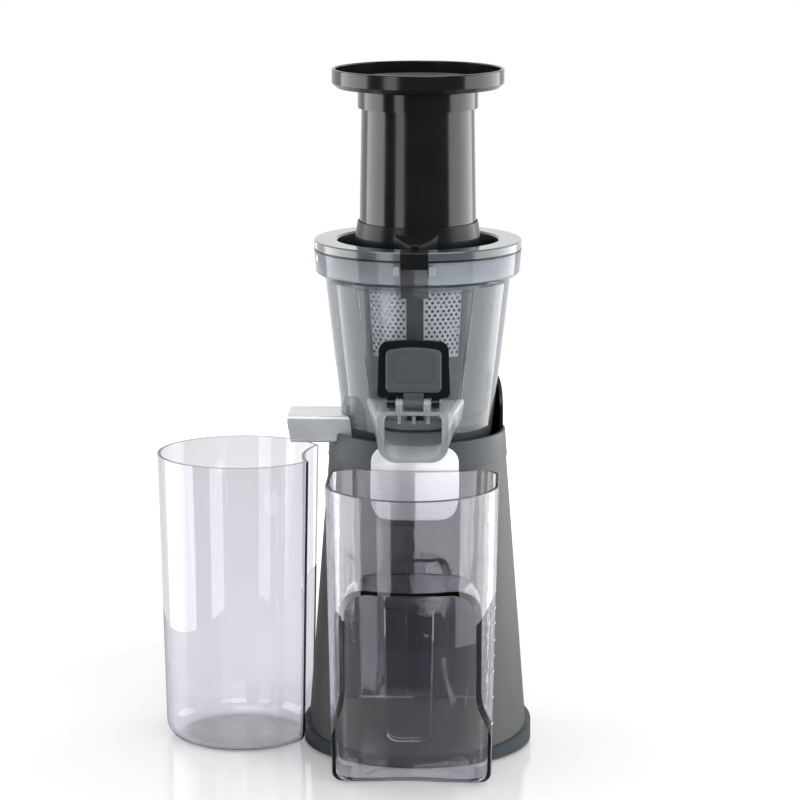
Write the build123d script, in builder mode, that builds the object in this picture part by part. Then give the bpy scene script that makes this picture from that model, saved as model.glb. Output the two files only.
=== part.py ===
"""Cold press juicer with its juice jug and pulp container, in millimetres.

Frame: +Z up, origin on the floor under the auger's axis, juice spout towards -Y, pulp duct towards -X.
The base holds a motor and a two-stage spur gearbox. The bowl with strainer, auger, lid and tray stacks on it.
"""
import os
from math import atan, cos, degrees, pi, radians, sin, sqrt

from build123d import *

# ---- base -------------------------------------------------------------------------------------------------
foot_h = 1.5                    # rubber foot below the base ring
foot_chamfer = 0.5
foot_r = 8.0
foot_circle_r = 52.0            # circle on which the feet and the floor screws sit
foot_stem_r = 3.0
ring_r = 74.7                   # dark base ring, outside
ring_front_top_z = 8.0          # the ring's top edge rises from the front to the rear
ring_rear_top_z = 20.5
ring_ledge_h = 2.5
plate_r = 65.8
vent_count = 10                 # air slots under the fan
vent_circle_r = 14.4
vent_len = 16.0
vent_w = 3.0
boss_r = 5.0                    # screw bosses on the floor plate
boss_h = 10.0
screw_hole_r = 1.6
housing_bottom_r = 72.3         # the housing is one straight cone, carried on by the collar
housing_top_r = 57.7
housing_top_z = 192.5
housing_t = 2.4
housing_lip_r = 50.0            # inward lip that carries the deck
collar_top_z = 210.0
collar_t = 3.0
collar_proud = 0.6              # collar and bib stand this far off the cone
bib_w = 63.0
bib_bottom_z = 157.5
bib_corner_r = 10.0
bib_flare_r = 14.0
bib_t = 1.8
panel_w = 56.0
panel_bottom_z = 161.2
panel_top_z = 207.6
panel_corner_r = 11.0
panel_proud = 0.9
panel_floor_t = 0.6             # bib left under the panel
fit_gap = 0.15                  # clearance between fixed pieces that nest
move_gap = 0.3                  # clearance between pieces that move apart
run_gap = 0.05                  # radial clearance of pins and shafts
deck_top_z = 201.0
deck_t = 4.5
deck_boss_r = 14.0
guard_t = 2.2
guard_r = 55.6                  # rear guard, outside
guard_top_z = 246.0
guard_rise_end_y = 34.5         # where the guard's rising top edge reaches its full height
guard_rise_sag = 8.7            # how far that edge is bowed
guard_cut_w = 12.0              # slope of the guard's edge beside the pulp duct

# ---- drive ------------------------------------------------------------------------------------------------
gear_centre = 26.0              # distance between the two gear axes, idler behind the main axis
pinion_teeth = 12
idler_teeth = 53
output_teeth = 40
gear_w1 = 7.0                   # face width of the first stage
gear_w2 = 10.0                  # face width of the second stage
tooth_backlash = 0.12           # share of the module
stage1_z = 112.0
stage_gap = 2.5
idler_pin_r = 3.0
motor_shaft_r = 2.5
motor_r = 30.0
motor_bottom_z = 26.0
motor_top_z = 98.0
motor_t = 2.0
rotor_r = 17.5
rotor_gap = 0.8
rotor_edge = 1.0
stack_margin = 18.0             # from the can's ends to the stator's stack
slot_count = 8
slot_w = 6.0
slot_h = 5.0
slot_offset = 4.0               # middle of the slots, outwards from the stator's bore
coil_clear = 0.3
coil_end = 6.0                  # the coils stand out of the stack by this much
fan_r = 24.0
fan_drop = 12.0                 # below the motor
fan_plate_t = 1.5
fan_blades = 9
fan_blade_circle_r = 14.9
fan_blade_len = 16.8
fan_blade_t = 1.4
fan_blade_h = 6.0
fan_blade_turn_deg = 20.0
fan_hub_r = 6.0
fan_hub_h = 7.0
frame_reach = 7.0               # posts of the motor frame stand this far outside the can
frame_rim = 3.0
frame_low_t = 3.0
frame_top_t = 4.0
post_r = 3.2
post_count = 4
damper_r = 4.0
damper_count = 3
board_w = 46.0                  # control board on edge before the motor
board_h = 40.0
board_t = 1.6
board_gap = 12.0
board_z = 60.0
board_part_h = 7.0
rail_w = 6.0
rail_d = 8.0
board_relay_w = 12.0
board_relay_h = 16.0
board_cap_r = 5.0
board_plug_w = 16.0
board_plug_h = 7.0
drive_r = 6.0
hex_af = 10.0
hex_gap = 0.2
hex_top_z = 221.0
case_t = 2.5
case_clear = 2.0
bearing_h = 5.0

# ---- bowl -------------------------------------------------------------------------------------------------
bowl_t = 2.4
bowl_bottom_r = 47.2            # outside, where the skirt stands in the collar
bowl_top_r = 59.5               # outside, under the band
bowl_body_top_z = 308.0
band_bottom_z = 312.0
band_low_r = 65.8
band_r = 66.9
bowl_rim_z = 327.2
bowl_floor_z = 216.5            # inside floor
hub_h = 7.5                     # hub tube above the floor
hub_drop = 11.2                 # and below it
hub_bore_r = 9.05
hub_t = 2.4
seal_h = 1.6
drip_rib_h = 7.0
drip_rib_y = -71.0
bulge_out = 2.4                 # raised front field of the bowl
bulge_top_half = 38.5
bulge_low_half = 29.0
bulge_low_z = 232.0
bulge_edge_r = 1.6              # rounding of the field's long edges
bulge_flare_r = 3.0             # hollow corner where the field meets the band
bulge_flare_w = 7.0

# ---- juice spout and its flap -----------------------------------------------------------------------------
mouth_y = -82.0
mouth_w = 44.6
mouth_top_z = 235.6
mouth_bottom_z = 203.0
spout_t = 2.4
opening_w = 36.0
opening_bottom_z = 205.2
opening_top_z = 233.2
root_y = -43.0
root_w = 64.0
root_bottom_z = 215.5
root_top_z = 238.0
spout_low_r = 11.5
hinge_y = -79.0
hinge_z = 240.0
hinge_pin_r = 1.2
lug_inner_x = 6.6
lug_outer_x = 11.0
lug_r = 3.1
leg_outer_x = 16.5
knuckle_r = 2.8
flap_w_top = 43.6
flap_w_low = 46.0
flap_bottom_z = 242.7
flap_top_z = 279.4
flap_t = 4.0
flap_corner_r = 6.5
pad_w = 35.0
pad_t = 3.0
pad_bottom_z = 246.4
pad_top_z = 275.2
pad_corner_r = 3.5
pad_arch_h = 2.2                # rise of the pad's bowed top edge
pad_frame_w = 26.0              # shallow field in the pad's face
pad_frame_h = 18.8
pad_frame_z = 262.5
pad_frame_depth = 0.6

# ---- pulp duct --------------------------------------------------------------------------------------------
duct_end_x = -83.4
duct_y = -5.0                   # centre
duct_w = 39.0
duct_bottom_z = 203.5
duct_top_z = 221.0
duct_t = 1.8
duct_root_x = -51.0
connector_w = 31.0
connector_h = 8.6
connector_low_z = 204.9
duct_end_rake = 2.5             # the duct's mouth leans, longer at the top
connector_t = 1.8
pulp_slot_in_x = -28.0
pulp_slot_out_x = -40.0
pulp_slot_w = 22.0

# ---- strainer and auger -----------------------------------------------------------------------------------
strainer_low_r = 40.5           # inside of the steel sleeve at its bottom
strainer_top_r = 50.0           # inside of the steel sleeve at its top
strainer_top_z = 316.0
sleeve_t = 0.8
frame_ring_h = 6.0
frame_ring_t = 1.5
flange_wall_t = 2.0             # wall of the strainer's flange, inside the bowl's band
flange_step_z = 319.6
flange_step = 0.5
rib_t = 2.6
rib_w = 10.7
rib_count = 3
ridge_w = 3.4                   # middle ridge of each rib
ridge_t = 1.2
locator_w = 17.2                # block on the front rib that sets the strainer's direction
locator_low_z = 303.5
locator_top_z = 324.5
locator_r = 56.5
auger_gap = 0.7                 # between the flights and the strainer
auger_core_low_r = 24.0
auger_core_top_r = 9.0
auger_top_z = 306.0
auger_skirt_r = 27.0
auger_waist_r = -160.0
auger_foot_z = 217.2
auger_turns = 2.0
flight_t = 4.0
flight_bottom_z = 224.0
flight_top_z = 292.0

# ---- lid, feed tube and tray ------------------------------------------------------------------------------
lid_r = 67.0
lid_h = 6.4
lid_opening_r = 52.0
lid_chamfer = 1.2
lid_recess_z = 321.0
lid_t = 2.6
lid_wall_lean = 1.2
lid_base_t = 1.1                # black edge of the lid that shows under its slate ring
lid_ring_t = 2.2
lid_edge = 0.8
tube_collar_z = 345.5           # top of the black collar round the foot of the tube
tube_collar_mid_z = 336.0
tube_collar_t = 2.2
prow_w = 30.4                   # wedge between the tube and the lid's latch
prow_tip_w = 4.2
prow_bow = 1.6
prow_top_z = 341.0
prow_tip_z = 336.6
tube_low_r = 37.9
tube_top_r = 36.1
tube_t = 2.6
tube_bottom_z = 312.0
tube_top_z = 429.0
latch_w = 17.4
latch_low_z = 323.3
latch_t = 2.2
lug_w = 3.4                     # guide lugs on the band, beside the latch
lug_h = 6.0
lug_proud = 0.9
tray_r = 55.3
tray_rise = 2.5                 # the tray's underside lies this far above the tube's end
tray_h = 12.0
tray_t = 2.2
tray_collar_r = 38.6
tray_collar_h = 10.5

# ---- jug and pulp container -------------------------------------------------------------------------------
jug_t = 2.2
jug_rim_z = 193.5
jug_w_top = 108.5
jug_w_low = 100.7
jug_front_y = -153.0
jug_clear = 3.8                 # between the base's cone and the jug's hollow back, at the rim
jug_low_clear = 1.2             # between the base ring and the jug's back, at the floor
jug_corner_r = 15.0
jug_top_sag = 13.0              # depth of the hollow back at the rim and at the floor
jug_low_sag = 16.0
jug_side_y = -104.0             # where the straight sides end and the round front starts
scoop_top_z = 133.0
scoop_w = 82.0
scoop_corner_r = 18.0
scoop_y = -98.0                 # middle of the hollow lower front
scoop_r = 120.0
scoop_flare_z = 60.0
scoop_flare_r = 40.0            # rounding where the hollow front widens to the foot
scoop_flare_w = 8.0
rim_round = 0.7
jug_foot_r = 11.0
jug_flank_clear = 3.0           # the outline that rounds the foot runs this far outside the rim
grip_w_top = 31.3
grip_w_low = 27.8
grip_bottom_z = 41.0
grip_front_y = -150.5
grip_t = 6.0
grip_corner_r = 7.0
grip_groove_low_z = 125.6       # groove across the top of the grip
grip_groove_h = 5.0
grip_groove_depth = 2.0

tub_t = 2.2
tub_rim_z = 191.0
tub_rim_r = 55.0
tub_low_r = 50.3
tub_x = -116.0
tub_y = 7.0
tub_notch_top_r = 73.5          # hollow side of the container, about the juicer's axis
tub_notch_clear = 1.3           # from the base ring at the floor
tub_foot_r = 12.0

# ---- rear controls ----------------------------------------------------------------------------------------
switch_z = 46.0
switch_w = 15.0
switch_h = 22.0
switch_bezel = 3.0
switch_depth = 16.0
switch_floor_t = 2.0
bezel_t = 1.6
rocker_pin_r = 1.2
rocker_axis_depth = 3.0         # the rocker's axis lies this far inside the housing's face
rocker_tilt_deg = 10.0          # either side of the middle; drawn switched off
gland_z = 33.0
gland_x = 26.0
gland_r = 5.5
gland_rim_w = 2.5
gland_in = 8.0                  # length inside and outside of the housing
gland_out = 4.0
cord_hole_r = 3.5

os.makedirs("parts", exist_ok=True)


def save(part, name, colour):
    """Label one finished piece and write it as a STEP file of its own."""
    part.label = name
    part.color = Color(*colour)
    export_step(part, f"parts/{name}.step")


black = (0.06, 0.06, 0.065)
slate = (0.24, 0.27, 0.30)
silver = (0.60, 0.60, 0.60)
pale = (0.80, 0.81, 0.82)
steel = (0.75, 0.76, 0.78)
clear = (0.80, 0.83, 0.88)
smoke = (0.55, 0.57, 0.60)
rubber = (0.16, 0.17, 0.18)
copper = (0.72, 0.42, 0.24)
green = (0.12, 0.36, 0.20)

cone_slope = (housing_bottom_r - housing_top_r) / housing_top_z


def cone_r(z):
    """Outer radius of the base at height z."""
    return housing_bottom_r - cone_slope * z


def ring_solid(points):
    """Closed profile of (radius, height) points turned about the Z axis."""
    with BuildPart() as turned:
        with BuildSketch(Plane.XZ):
            with BuildLine():
                Polyline(*points, close=True)
            make_face()
        revolve(axis=Axis.Z)
    return turned.part


def cone_band(low_z, high_z, inner, outer):
    """Band that follows the base's cone, between two offsets from it."""
    return ring_solid([(cone_r(low_z) + inner, low_z), (cone_r(low_z) + outer, low_z),
                       (cone_r(high_z) + outer, high_z), (cone_r(high_z) + inner, high_z)])


def front_sector(points, width):
    """Piece of a turned profile that lies within a width across the front."""
    heights = [z for _, z in points]
    reach = max(r for r, _ in points)
    with BuildPart() as sector:
        add(ring_solid(points))
        with BuildSketch(Plane.XY.offset(min(heights))):
            with Locations((0, -reach)):
                Rectangle(width, 2 * reach - 1)
        extrude(amount=max(heights) - min(heights), mode=Mode.INTERSECT)
    return sector.part


# ---- base ring, floor plate, feet -------------------------------------------------------------------------
ring_floor_z = foot_h
ledge_z = foot_h + ring_ledge_h
ring_tilt = atan((ring_rear_top_z - ring_front_top_z) / (2 * ring_r))
ring_cut_z = ring_rear_top_z + 6

with BuildPart() as base_ring:
    add(ring_solid([(plate_r + fit_gap, ring_floor_z), (ring_r, ring_floor_z), (ring_r, ring_cut_z),
                    (cone_r(ring_cut_z) + fit_gap, ring_cut_z), (cone_r(ledge_z) + fit_gap, ledge_z),
                    (plate_r + fit_gap, ledge_z)]))
    split(bisect_by=Plane(origin=(0, -ring_r, ring_front_top_z), x_dir=(1, 0, 0),
                          z_dir=(0, -sin(ring_tilt), cos(ring_tilt))), keep=Keep.BOTTOM)
    fillet(base_ring.edges().filter_by(GeomType.CIRCLE).group_by(Axis.Z)[0].sort_by(SortBy.RADIUS)[-1], 0.8)
save(base_ring.part, "base_ring", slate)

with BuildPart() as bottom_plate:
    with BuildSketch(Plane.XY.offset(ring_floor_z)):
        Circle(plate_r)
        with PolarLocations(foot_circle_r, 4, start_angle=45):
            Circle(foot_stem_r + fit_gap, mode=Mode.SUBTRACT)
        with PolarLocations(vent_circle_r, vent_count):
            SlotOverall(vent_len, vent_w, mode=Mode.SUBTRACT)
    extrude(amount=ring_ledge_h)
    with BuildSketch(Plane.XY.offset(ledge_z)):
        with PolarLocations(foot_circle_r, 4):
            Circle(boss_r)
            Circle(screw_hole_r, mode=Mode.SUBTRACT)
    extrude(amount=boss_h)
save(bottom_plate.part, "bottom_plate", black)

with BuildPart() as rubber_feet:
    with BuildSketch(Plane.XY):
        with PolarLocations(foot_circle_r, 4, start_angle=45):
            Circle(foot_r)
    extrude(amount=foot_h)
    chamfer(rubber_feet.edges().group_by(Axis.Z)[0], foot_chamfer)
    with BuildSketch(Plane.XY.offset(foot_h)):
        with PolarLocations(foot_circle_r, 4, start_angle=45):
            Circle(foot_stem_r)
    extrude(amount=ring_ledge_h)
save(rubber_feet.part, "rubber_feet", rubber)

# ---- collar with its hanging bib, front panel, housing ----------------------------------------------------
panel_mid_z = (panel_bottom_z + panel_top_z) / 2
panel_h = panel_top_z - panel_bottom_z
front_reach = ring_r + 5


def bib_solid(grow, inner, outer):
    """Bib in front view, grown sideways, as a band on the cone."""
    half = bib_w / 2 + grow
    low = bib_bottom_z - grow
    edge_z = housing_top_z - grow
    with BuildPart() as bib:
        with BuildSketch(Plane.XZ):
            with BuildLine():
                lower = FilletPolyline((0, low), (half, low), (half, edge_z), (housing_top_r, edge_z),
                                       radius=[bib_corner_r + grow, bib_flare_r - grow])
                Polyline(lower @ 1, (housing_top_r, housing_top_z + 1), (0, housing_top_z + 1))
                mirror(about=Plane.YZ)
            make_face()
        extrude(amount=front_reach)
        add(cone_band(bib_bottom_z - 5, housing_top_z + 1, inner, outer), mode=Mode.INTERSECT)
    return bib.part


def panel_solid(grow, inner, outer):
    """Front panel in front view, grown sideways, as a band on the cone."""
    with BuildPart() as panel:
        with BuildSketch(Plane.XZ):
            with Locations((0, panel_mid_z)):
                RectangleRounded(panel_w + 2 * grow, panel_h + 2 * grow, panel_corner_r + grow)
        extrude(amount=front_reach)
        add(cone_band(panel_bottom_z - 5, collar_top_z, inner, outer), mode=Mode.INTERSECT)
    return panel.part


bib_inner = collar_proud - bib_t
panel_seat = bib_inner + panel_floor_t
duct_notch_z = duct_bottom_z - 0.5
duct_half = duct_w / 2
guard_inner_r = guard_r - guard_t
guard_foot_z = deck_top_z

with BuildPart() as guard_blank:
    add(ring_solid([(guard_inner_r, guard_foot_z), (guard_r, guard_foot_z),
                    (guard_r, guard_top_z), (guard_inner_r, guard_top_z)]))
    with BuildSketch(Plane.YZ):
        with BuildLine():
            rise = SagittaArc((-2, collar_top_z), (guard_rise_end_y, guard_top_z), guard_rise_sag)
            Polyline(rise @ 1, (guard_r + 1, guard_top_z), (guard_r + 1, guard_foot_z),
                     (-2, guard_foot_z), rise @ 0)
        make_face()
    extrude(amount=guard_r + 1, both=True, mode=Mode.INTERSECT)
    duct_side_y = duct_y + duct_half + 3
    with BuildSketch(Plane.YZ):
        with BuildLine():
            Polyline((-3, guard_foot_z - 1), (duct_side_y, guard_foot_z - 1),
                     (duct_side_y + guard_cut_w, (guard_foot_z + guard_top_z) / 2),
                     (duct_side_y + guard_cut_w, guard_top_z + 1),
                     (-3, guard_top_z + 1), close=True)
        make_face()
    extrude(amount=-guard_r - 1, mode=Mode.SUBTRACT)
save(guard_blank.part, "rear_guard", black)

with BuildPart() as guard_seat:
    add(ring_solid([(guard_inner_r - 1, guard_foot_z), (guard_r + fit_gap, guard_foot_z),
                    (guard_r + fit_gap, collar_top_z + 1), (guard_inner_r - 1, collar_top_z + 1)]))
    with BuildSketch(Plane.XY.offset(guard_foot_z)):
        with Locations((0, guard_r)):
            Rectangle(2 * guard_r + 4, 2 * guard_r + 4 + 2 * fit_gap)
    extrude(amount=collar_top_z - guard_foot_z + 1, mode=Mode.INTERSECT)

with BuildPart() as collar_trim:
    add(cone_band(housing_top_z, collar_top_z, collar_proud - collar_t, collar_proud))
    fillet(collar_trim.edges().filter_by(GeomType.CIRCLE).group_by(Axis.Z)[-1], 0.8)
    add(bib_solid(0, bib_inner, collar_proud))
    add(panel_solid(fit_gap, panel_seat, collar_proud + 1), mode=Mode.SUBTRACT)
    add(guard_seat.part, mode=Mode.SUBTRACT)
    with BuildSketch(Plane.YZ.offset(-ring_r)):
        with Locations((duct_y, (duct_notch_z + collar_top_z + 6) / 2)):
            RectangleRounded(duct_w + 2, collar_top_z + 6 - duct_notch_z, 2)
    extrude(amount=ring_r / 2, mode=Mode.SUBTRACT)
save(collar_trim.part, "collar_trim", slate)

with BuildPart() as front_panel:
    add(panel_solid(0, panel_seat + fit_gap / 3, panel_proud))
    front_edges = front_panel.faces().sort_by(Axis.Y)[0].edges()
    fillet(front_edges, 0.6)
save(front_panel.part, "front_panel", pale)

switch_y = cone_r(switch_z)
gland_y = sqrt(cone_r(gland_z) ** 2 - gland_x ** 2)

with BuildPart() as housing_shell:
    add(ring_solid([(cone_r(ledge_z), ledge_z), (housing_top_r, housing_top_z),
                    (housing_lip_r, housing_top_z), (housing_lip_r, housing_top_z - housing_t),
                    (housing_top_r - housing_t, housing_top_z - housing_t),
                    (cone_r(ledge_z) - housing_t, ledge_z)]))
    add(bib_solid(fit_gap, bib_inner - fit_gap, collar_proud + 1), mode=Mode.SUBTRACT)
    with BuildSketch(Plane.XZ):
        with Locations((0, switch_z)):
            RectangleRounded(switch_w + 2 * fit_gap, switch_h + 2 * fit_gap, 1.2)
        with Locations((gland_x, gland_z)):
            Circle(gland_r)
    extrude(amount=-ring_r, mode=Mode.SUBTRACT)
save(housing_shell.part, "housing_shell", silver)

# ---- deck on which the bowl stands ------------------------------------------------------------------------
deck_r = cone_r(collar_top_z) + collar_proud - collar_t - fit_gap
with BuildPart() as drive_deck:
    add(ring_solid([(drive_r + bearing_h, deck_top_z), (drive_r + bearing_h, housing_top_z - 2 * deck_t),
                    (deck_boss_r + 3, housing_top_z - 2 * deck_t), (deck_boss_r + 3, deck_top_z - deck_t),
                    (housing_lip_r - 4, deck_top_z - deck_t), (housing_lip_r - 4, housing_top_z),
                    (deck_r, housing_top_z), (deck_r, deck_top_z)]))
    with BuildSketch(Plane.XY.offset(deck_top_z - 1.2)):
        Circle(deck_r - 9)
        Circle(deck_r - 12, mode=Mode.SUBTRACT)
    extrude(amount=1.2, mode=Mode.SUBTRACT)
    add(guard_seat.part, mode=Mode.SUBTRACT)
save(drive_deck.part, "drive_deck", black)

deck_bearing_z = deck_top_z - bearing_h - 2
seal_r = drive_r + bearing_h - fit_gap
with BuildPart() as deck_bearings:
    with BuildSketch(Plane.XY.offset(deck_bearing_z)):
        Circle(seal_r)
        Circle(drive_r + run_gap, mode=Mode.SUBTRACT)
    extrude(amount=bearing_h)
    fillet(deck_bearings.edges().group_by(Axis.Z)[-1].sort_by(SortBy.RADIUS)[-1], 0.5)
save(deck_bearings.part, "deck_bearing", steel)

with BuildPart() as shaft_seal:
    with BuildSketch(Plane.XY.offset(deck_bearing_z + bearing_h)):
        Circle(seal_r)
        Circle(drive_r + move_gap, mode=Mode.SUBTRACT)
    extrude(amount=deck_top_z - deck_bearing_z - bearing_h)
save(shaft_seal.part, "shaft_seal", rubber)

# ---- gears ------------------------------------------------------------------------------------------------
module1 = 2 * gear_centre / (pinion_teeth + idler_teeth)
module2 = 2 * gear_centre / (pinion_teeth + output_teeth)
idler_pitch_deg = 360 / idler_teeth


def gear_face(teeth, module, bore_r, start_deg):
    """Spur gear section: each tooth is a tapered flank pair with a flat tip, teeth centred on start_deg."""
    pitch_r = module * teeth / 2
    tip_r = pitch_r + 0.85 * module
    root_r = pitch_r - 1.2 * module
    half_pitch = pi / 2 / teeth * (1 - tooth_backlash)
    flanks = [(root_r, half_pitch * 1.55), (pitch_r, half_pitch), (tip_r, half_pitch * 0.5)]
    corners = []
    for tooth in range(teeth):
        middle = radians(start_deg) + 2 * pi * tooth / teeth
        rising = [(r * cos(middle - a), r * sin(middle - a)) for r, a in flanks]
        falling = [(r * cos(middle + a), r * sin(middle + a)) for r, a in reversed(flanks)]
        corners += rising + falling
    with BuildSketch() as section:
        with BuildLine():
            Polyline(*corners, close=True)
        make_face()
        Circle(bore_r, mode=Mode.SUBTRACT)
    return section.sketch


stage2_z = stage1_z + gear_w1 + stage_gap
gear_top_z = stage2_z + gear_w2
case_floor_z = stage1_z - case_clear - case_t
case_roof_z = gear_top_z + case_clear
output_tip_r = module2 * (output_teeth / 2 + 1)
idler_tip_r = module1 * (idler_teeth / 2 + 1)

with BuildPart() as output_gear:
    with BuildSketch(Plane.XY.offset(stage2_z)):
        add(gear_face(output_teeth, module2, drive_r, 90))
    extrude(amount=gear_w2)
    with BuildSketch(Plane.XY.offset(gear_top_z - 2)):
        Circle(output_tip_r - 5)
        Circle(drive_r + 4, mode=Mode.SUBTRACT)
    extrude(amount=2, mode=Mode.SUBTRACT)
save(output_gear.part, "output_gear", pale)

shaft_low_z = stage2_z - 0.5
with BuildPart() as drive_shaft:
    with BuildSketch(Plane.XY.offset(shaft_low_z)):
        Circle(drive_r)
    extrude(amount=deck_top_z + 1 - shaft_low_z)
    with BuildSketch(Plane.XY.offset(deck_top_z + 1)):
        RegularPolygon(hex_af / 2, 6, major_radius=False)
    extrude(amount=hex_top_z - deck_top_z - 1)
    chamfer(drive_shaft.faces().sort_by(Axis.Z)[-1].edges(), 0.8)
save(drive_shaft.part, "drive_shaft", steel)

idler_gap_deg = -90 + idler_pitch_deg / 2
with BuildPart() as idler_gear:
    with BuildSketch(Plane((0, gear_centre, stage1_z))):
        add(gear_face(idler_teeth, module1, idler_pin_r + run_gap, idler_gap_deg))
    extrude(amount=gear_w1)
    with BuildSketch(Plane((0, gear_centre, stage1_z + gear_w1))):
        Circle(module2 * pinion_teeth / 2 - 1.5 * module2)
        Circle(idler_pin_r + run_gap, mode=Mode.SUBTRACT)
    extrude(amount=stage_gap)
    with BuildSketch(Plane((0, gear_centre, stage2_z))):
        add(gear_face(pinion_teeth, module2, idler_pin_r + run_gap, 180 / pinion_teeth))
    extrude(amount=gear_w2)
save(idler_gear.part, "idler_gear", steel)

with BuildPart() as idler_pin:
    with BuildSketch(Plane((0, gear_centre, case_floor_z))):
        Circle(idler_pin_r)
    extrude(amount=case_roof_z + case_t - case_floor_z)
save(idler_pin.part, "idler_pin", steel)

# ---- gearbox case -----------------------------------------------------------------------------------------
case_inner_r = max(output_tip_r, idler_tip_r) + case_clear


def case_outline(grow):
    """Oval around both gears."""
    with BuildSketch() as oval:
        with Locations((0, gear_centre / 2)):
            SlotCenterToCenter(gear_centre, 2 * (case_inner_r + grow), rotation=90)
    return oval.sketch


cover_bore_r = drive_r + bearing_h
with BuildPart() as gearbox_case:
    with BuildSketch(Plane.XY.offset(case_floor_z)):
        add(case_outline(case_t))
    extrude(amount=case_roof_z - case_floor_z)
    with BuildSketch(Plane.XY.offset(case_floor_z + case_t)):
        add(case_outline(0))
    extrude(amount=case_roof_z, mode=Mode.SUBTRACT)
    with BuildSketch(Plane.XY.offset(case_floor_z)):
        Circle(motor_shaft_r + bearing_h, mode=Mode.ADD)
    extrude(amount=case_t, mode=Mode.SUBTRACT)
    with BuildSketch(Plane.XY.offset(case_floor_z)):
        with Locations((0, gear_centre)):
            Circle(idler_pin_r)
    extrude(amount=case_t, mode=Mode.SUBTRACT)
save(gearbox_case.part, "gearbox_case", steel)

with BuildPart() as gearbox_cover:
    with BuildSketch(Plane.XY.offset(case_roof_z)):
        add(case_outline(case_t))
    extrude(amount=case_t)
    with BuildSketch(Plane.XY.offset(case_roof_z + case_t)):
        Circle(cover_bore_r + 3)
    extrude(amount=bearing_h)
    with BuildSketch(Plane.XY.offset(case_roof_z)):
        Circle(cover_bore_r)
        with Locations((0, gear_centre)):
            Circle(idler_pin_r)
    extrude(amount=case_t + bearing_h, mode=Mode.SUBTRACT)
save(gearbox_cover.part, "gearbox_cover", steel)

with BuildPart() as cover_bearing:
    with BuildSketch(Plane.XY.offset(case_roof_z + case_t)):
        Circle(cover_bore_r - fit_gap)
        Circle(drive_r + run_gap, mode=Mode.SUBTRACT)
    extrude(amount=bearing_h)
save(cover_bearing.part, "cover_bearing", steel)

# ---- motor ------------------------------------------------------------------------------------------------
motor_bore_r = motor_shaft_r + bearing_h
shaft_end_z = stage1_z + gear_w1 - 0.5
fan_z = motor_bottom_z - fan_drop

with BuildPart() as motor_can:
    add(ring_solid([(motor_bore_r, motor_bottom_z), (motor_r, motor_bottom_z), (motor_r, motor_top_z),
                    (motor_bore_r, motor_top_z), (motor_bore_r, motor_top_z - motor_t),
                    (motor_r - motor_t, motor_top_z - motor_t), (motor_r - motor_t, motor_bottom_z + motor_t),
                    (motor_bore_r, motor_bottom_z + motor_t)]))
    fillet(motor_can.edges().filter_by(GeomType.CIRCLE).group_by(Axis.Z)[-1].sort_by(SortBy.RADIUS)[-1], 1.5)
save(motor_can.part, "motor_can", steel)

stack_low_z = motor_bottom_z + stack_margin
stack_high_z = motor_top_z - stack_margin
slot_circle_r = rotor_r + rotor_gap + slot_offset
with BuildPart() as stator_stack:
    with BuildSketch(Plane.XY.offset(stack_low_z)):
        Circle(motor_r - motor_t - fit_gap)
        Circle(rotor_r + rotor_gap, mode=Mode.SUBTRACT)
        with PolarLocations(slot_circle_r, slot_count):
            Rectangle(slot_h, slot_w, mode=Mode.SUBTRACT)
    extrude(amount=stack_high_z - stack_low_z)
save(stator_stack.part, "stator_stack", steel)

with BuildPart() as stator_coils:
    with BuildSketch(Plane.XY.offset(stack_low_z - coil_end)):
        with PolarLocations(slot_circle_r, slot_count):
            Rectangle(slot_h - 2 * coil_clear, slot_w - 2 * coil_clear)
    extrude(amount=stack_high_z - stack_low_z + 2 * coil_end)
save(stator_coils.part, "stator_coils", copper)

with BuildPart() as rotor_core:
    with BuildSketch(Plane.XY.offset(stack_low_z)):
        Circle(rotor_r)
        Circle(motor_shaft_r, mode=Mode.SUBTRACT)
    extrude(amount=stack_high_z - stack_low_z)
    chamfer(rotor_core.edges().group_by(Axis.Z)[-1].sort_by(SortBy.RADIUS)[-1], rotor_edge)
save(rotor_core.part, "rotor_core", steel)

with BuildPart() as motor_shaft:
    with BuildSketch(Plane.XY.offset(fan_z - 2)):
        Circle(motor_shaft_r)
    extrude(amount=stage1_z - fan_z + 2)
    with BuildSketch(Plane.XY.offset(stage1_z)):
        add(gear_face(pinion_teeth, module1, 0.5, 90))
    extrude(amount=shaft_end_z - stage1_z)
save(motor_shaft.part, "motor_shaft", steel)

with BuildPart() as cooling_fan:
    with BuildSketch(Plane.XY.offset(fan_z)):
        Circle(fan_r)
        Circle(motor_shaft_r, mode=Mode.SUBTRACT)
    extrude(amount=fan_plate_t)
    with BuildSketch(Plane.XY.offset(fan_z + fan_plate_t)):
        with PolarLocations(fan_blade_circle_r, fan_blades):
            Rectangle(fan_blade_len, fan_blade_t, rotation=fan_blade_turn_deg)
    extrude(amount=fan_blade_h)
    with BuildSketch(Plane.XY.offset(fan_z + fan_plate_t)):
        Circle(fan_hub_r)
        Circle(motor_shaft_r, mode=Mode.SUBTRACT)
    extrude(amount=fan_hub_h)
save(cooling_fan.part, "cooling_fan", black)

with BuildPart() as motor_bearings:
    for low_z in (motor_bottom_z - 1, motor_top_z - 2.5):
        with BuildSketch(Plane.XY.offset(low_z)):
            Circle(motor_bore_r - fit_gap)
            Circle(motor_shaft_r + run_gap, mode=Mode.SUBTRACT)
        extrude(amount=3.5)
save(motor_bearings.part, "motor_bearings", steel)

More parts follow.
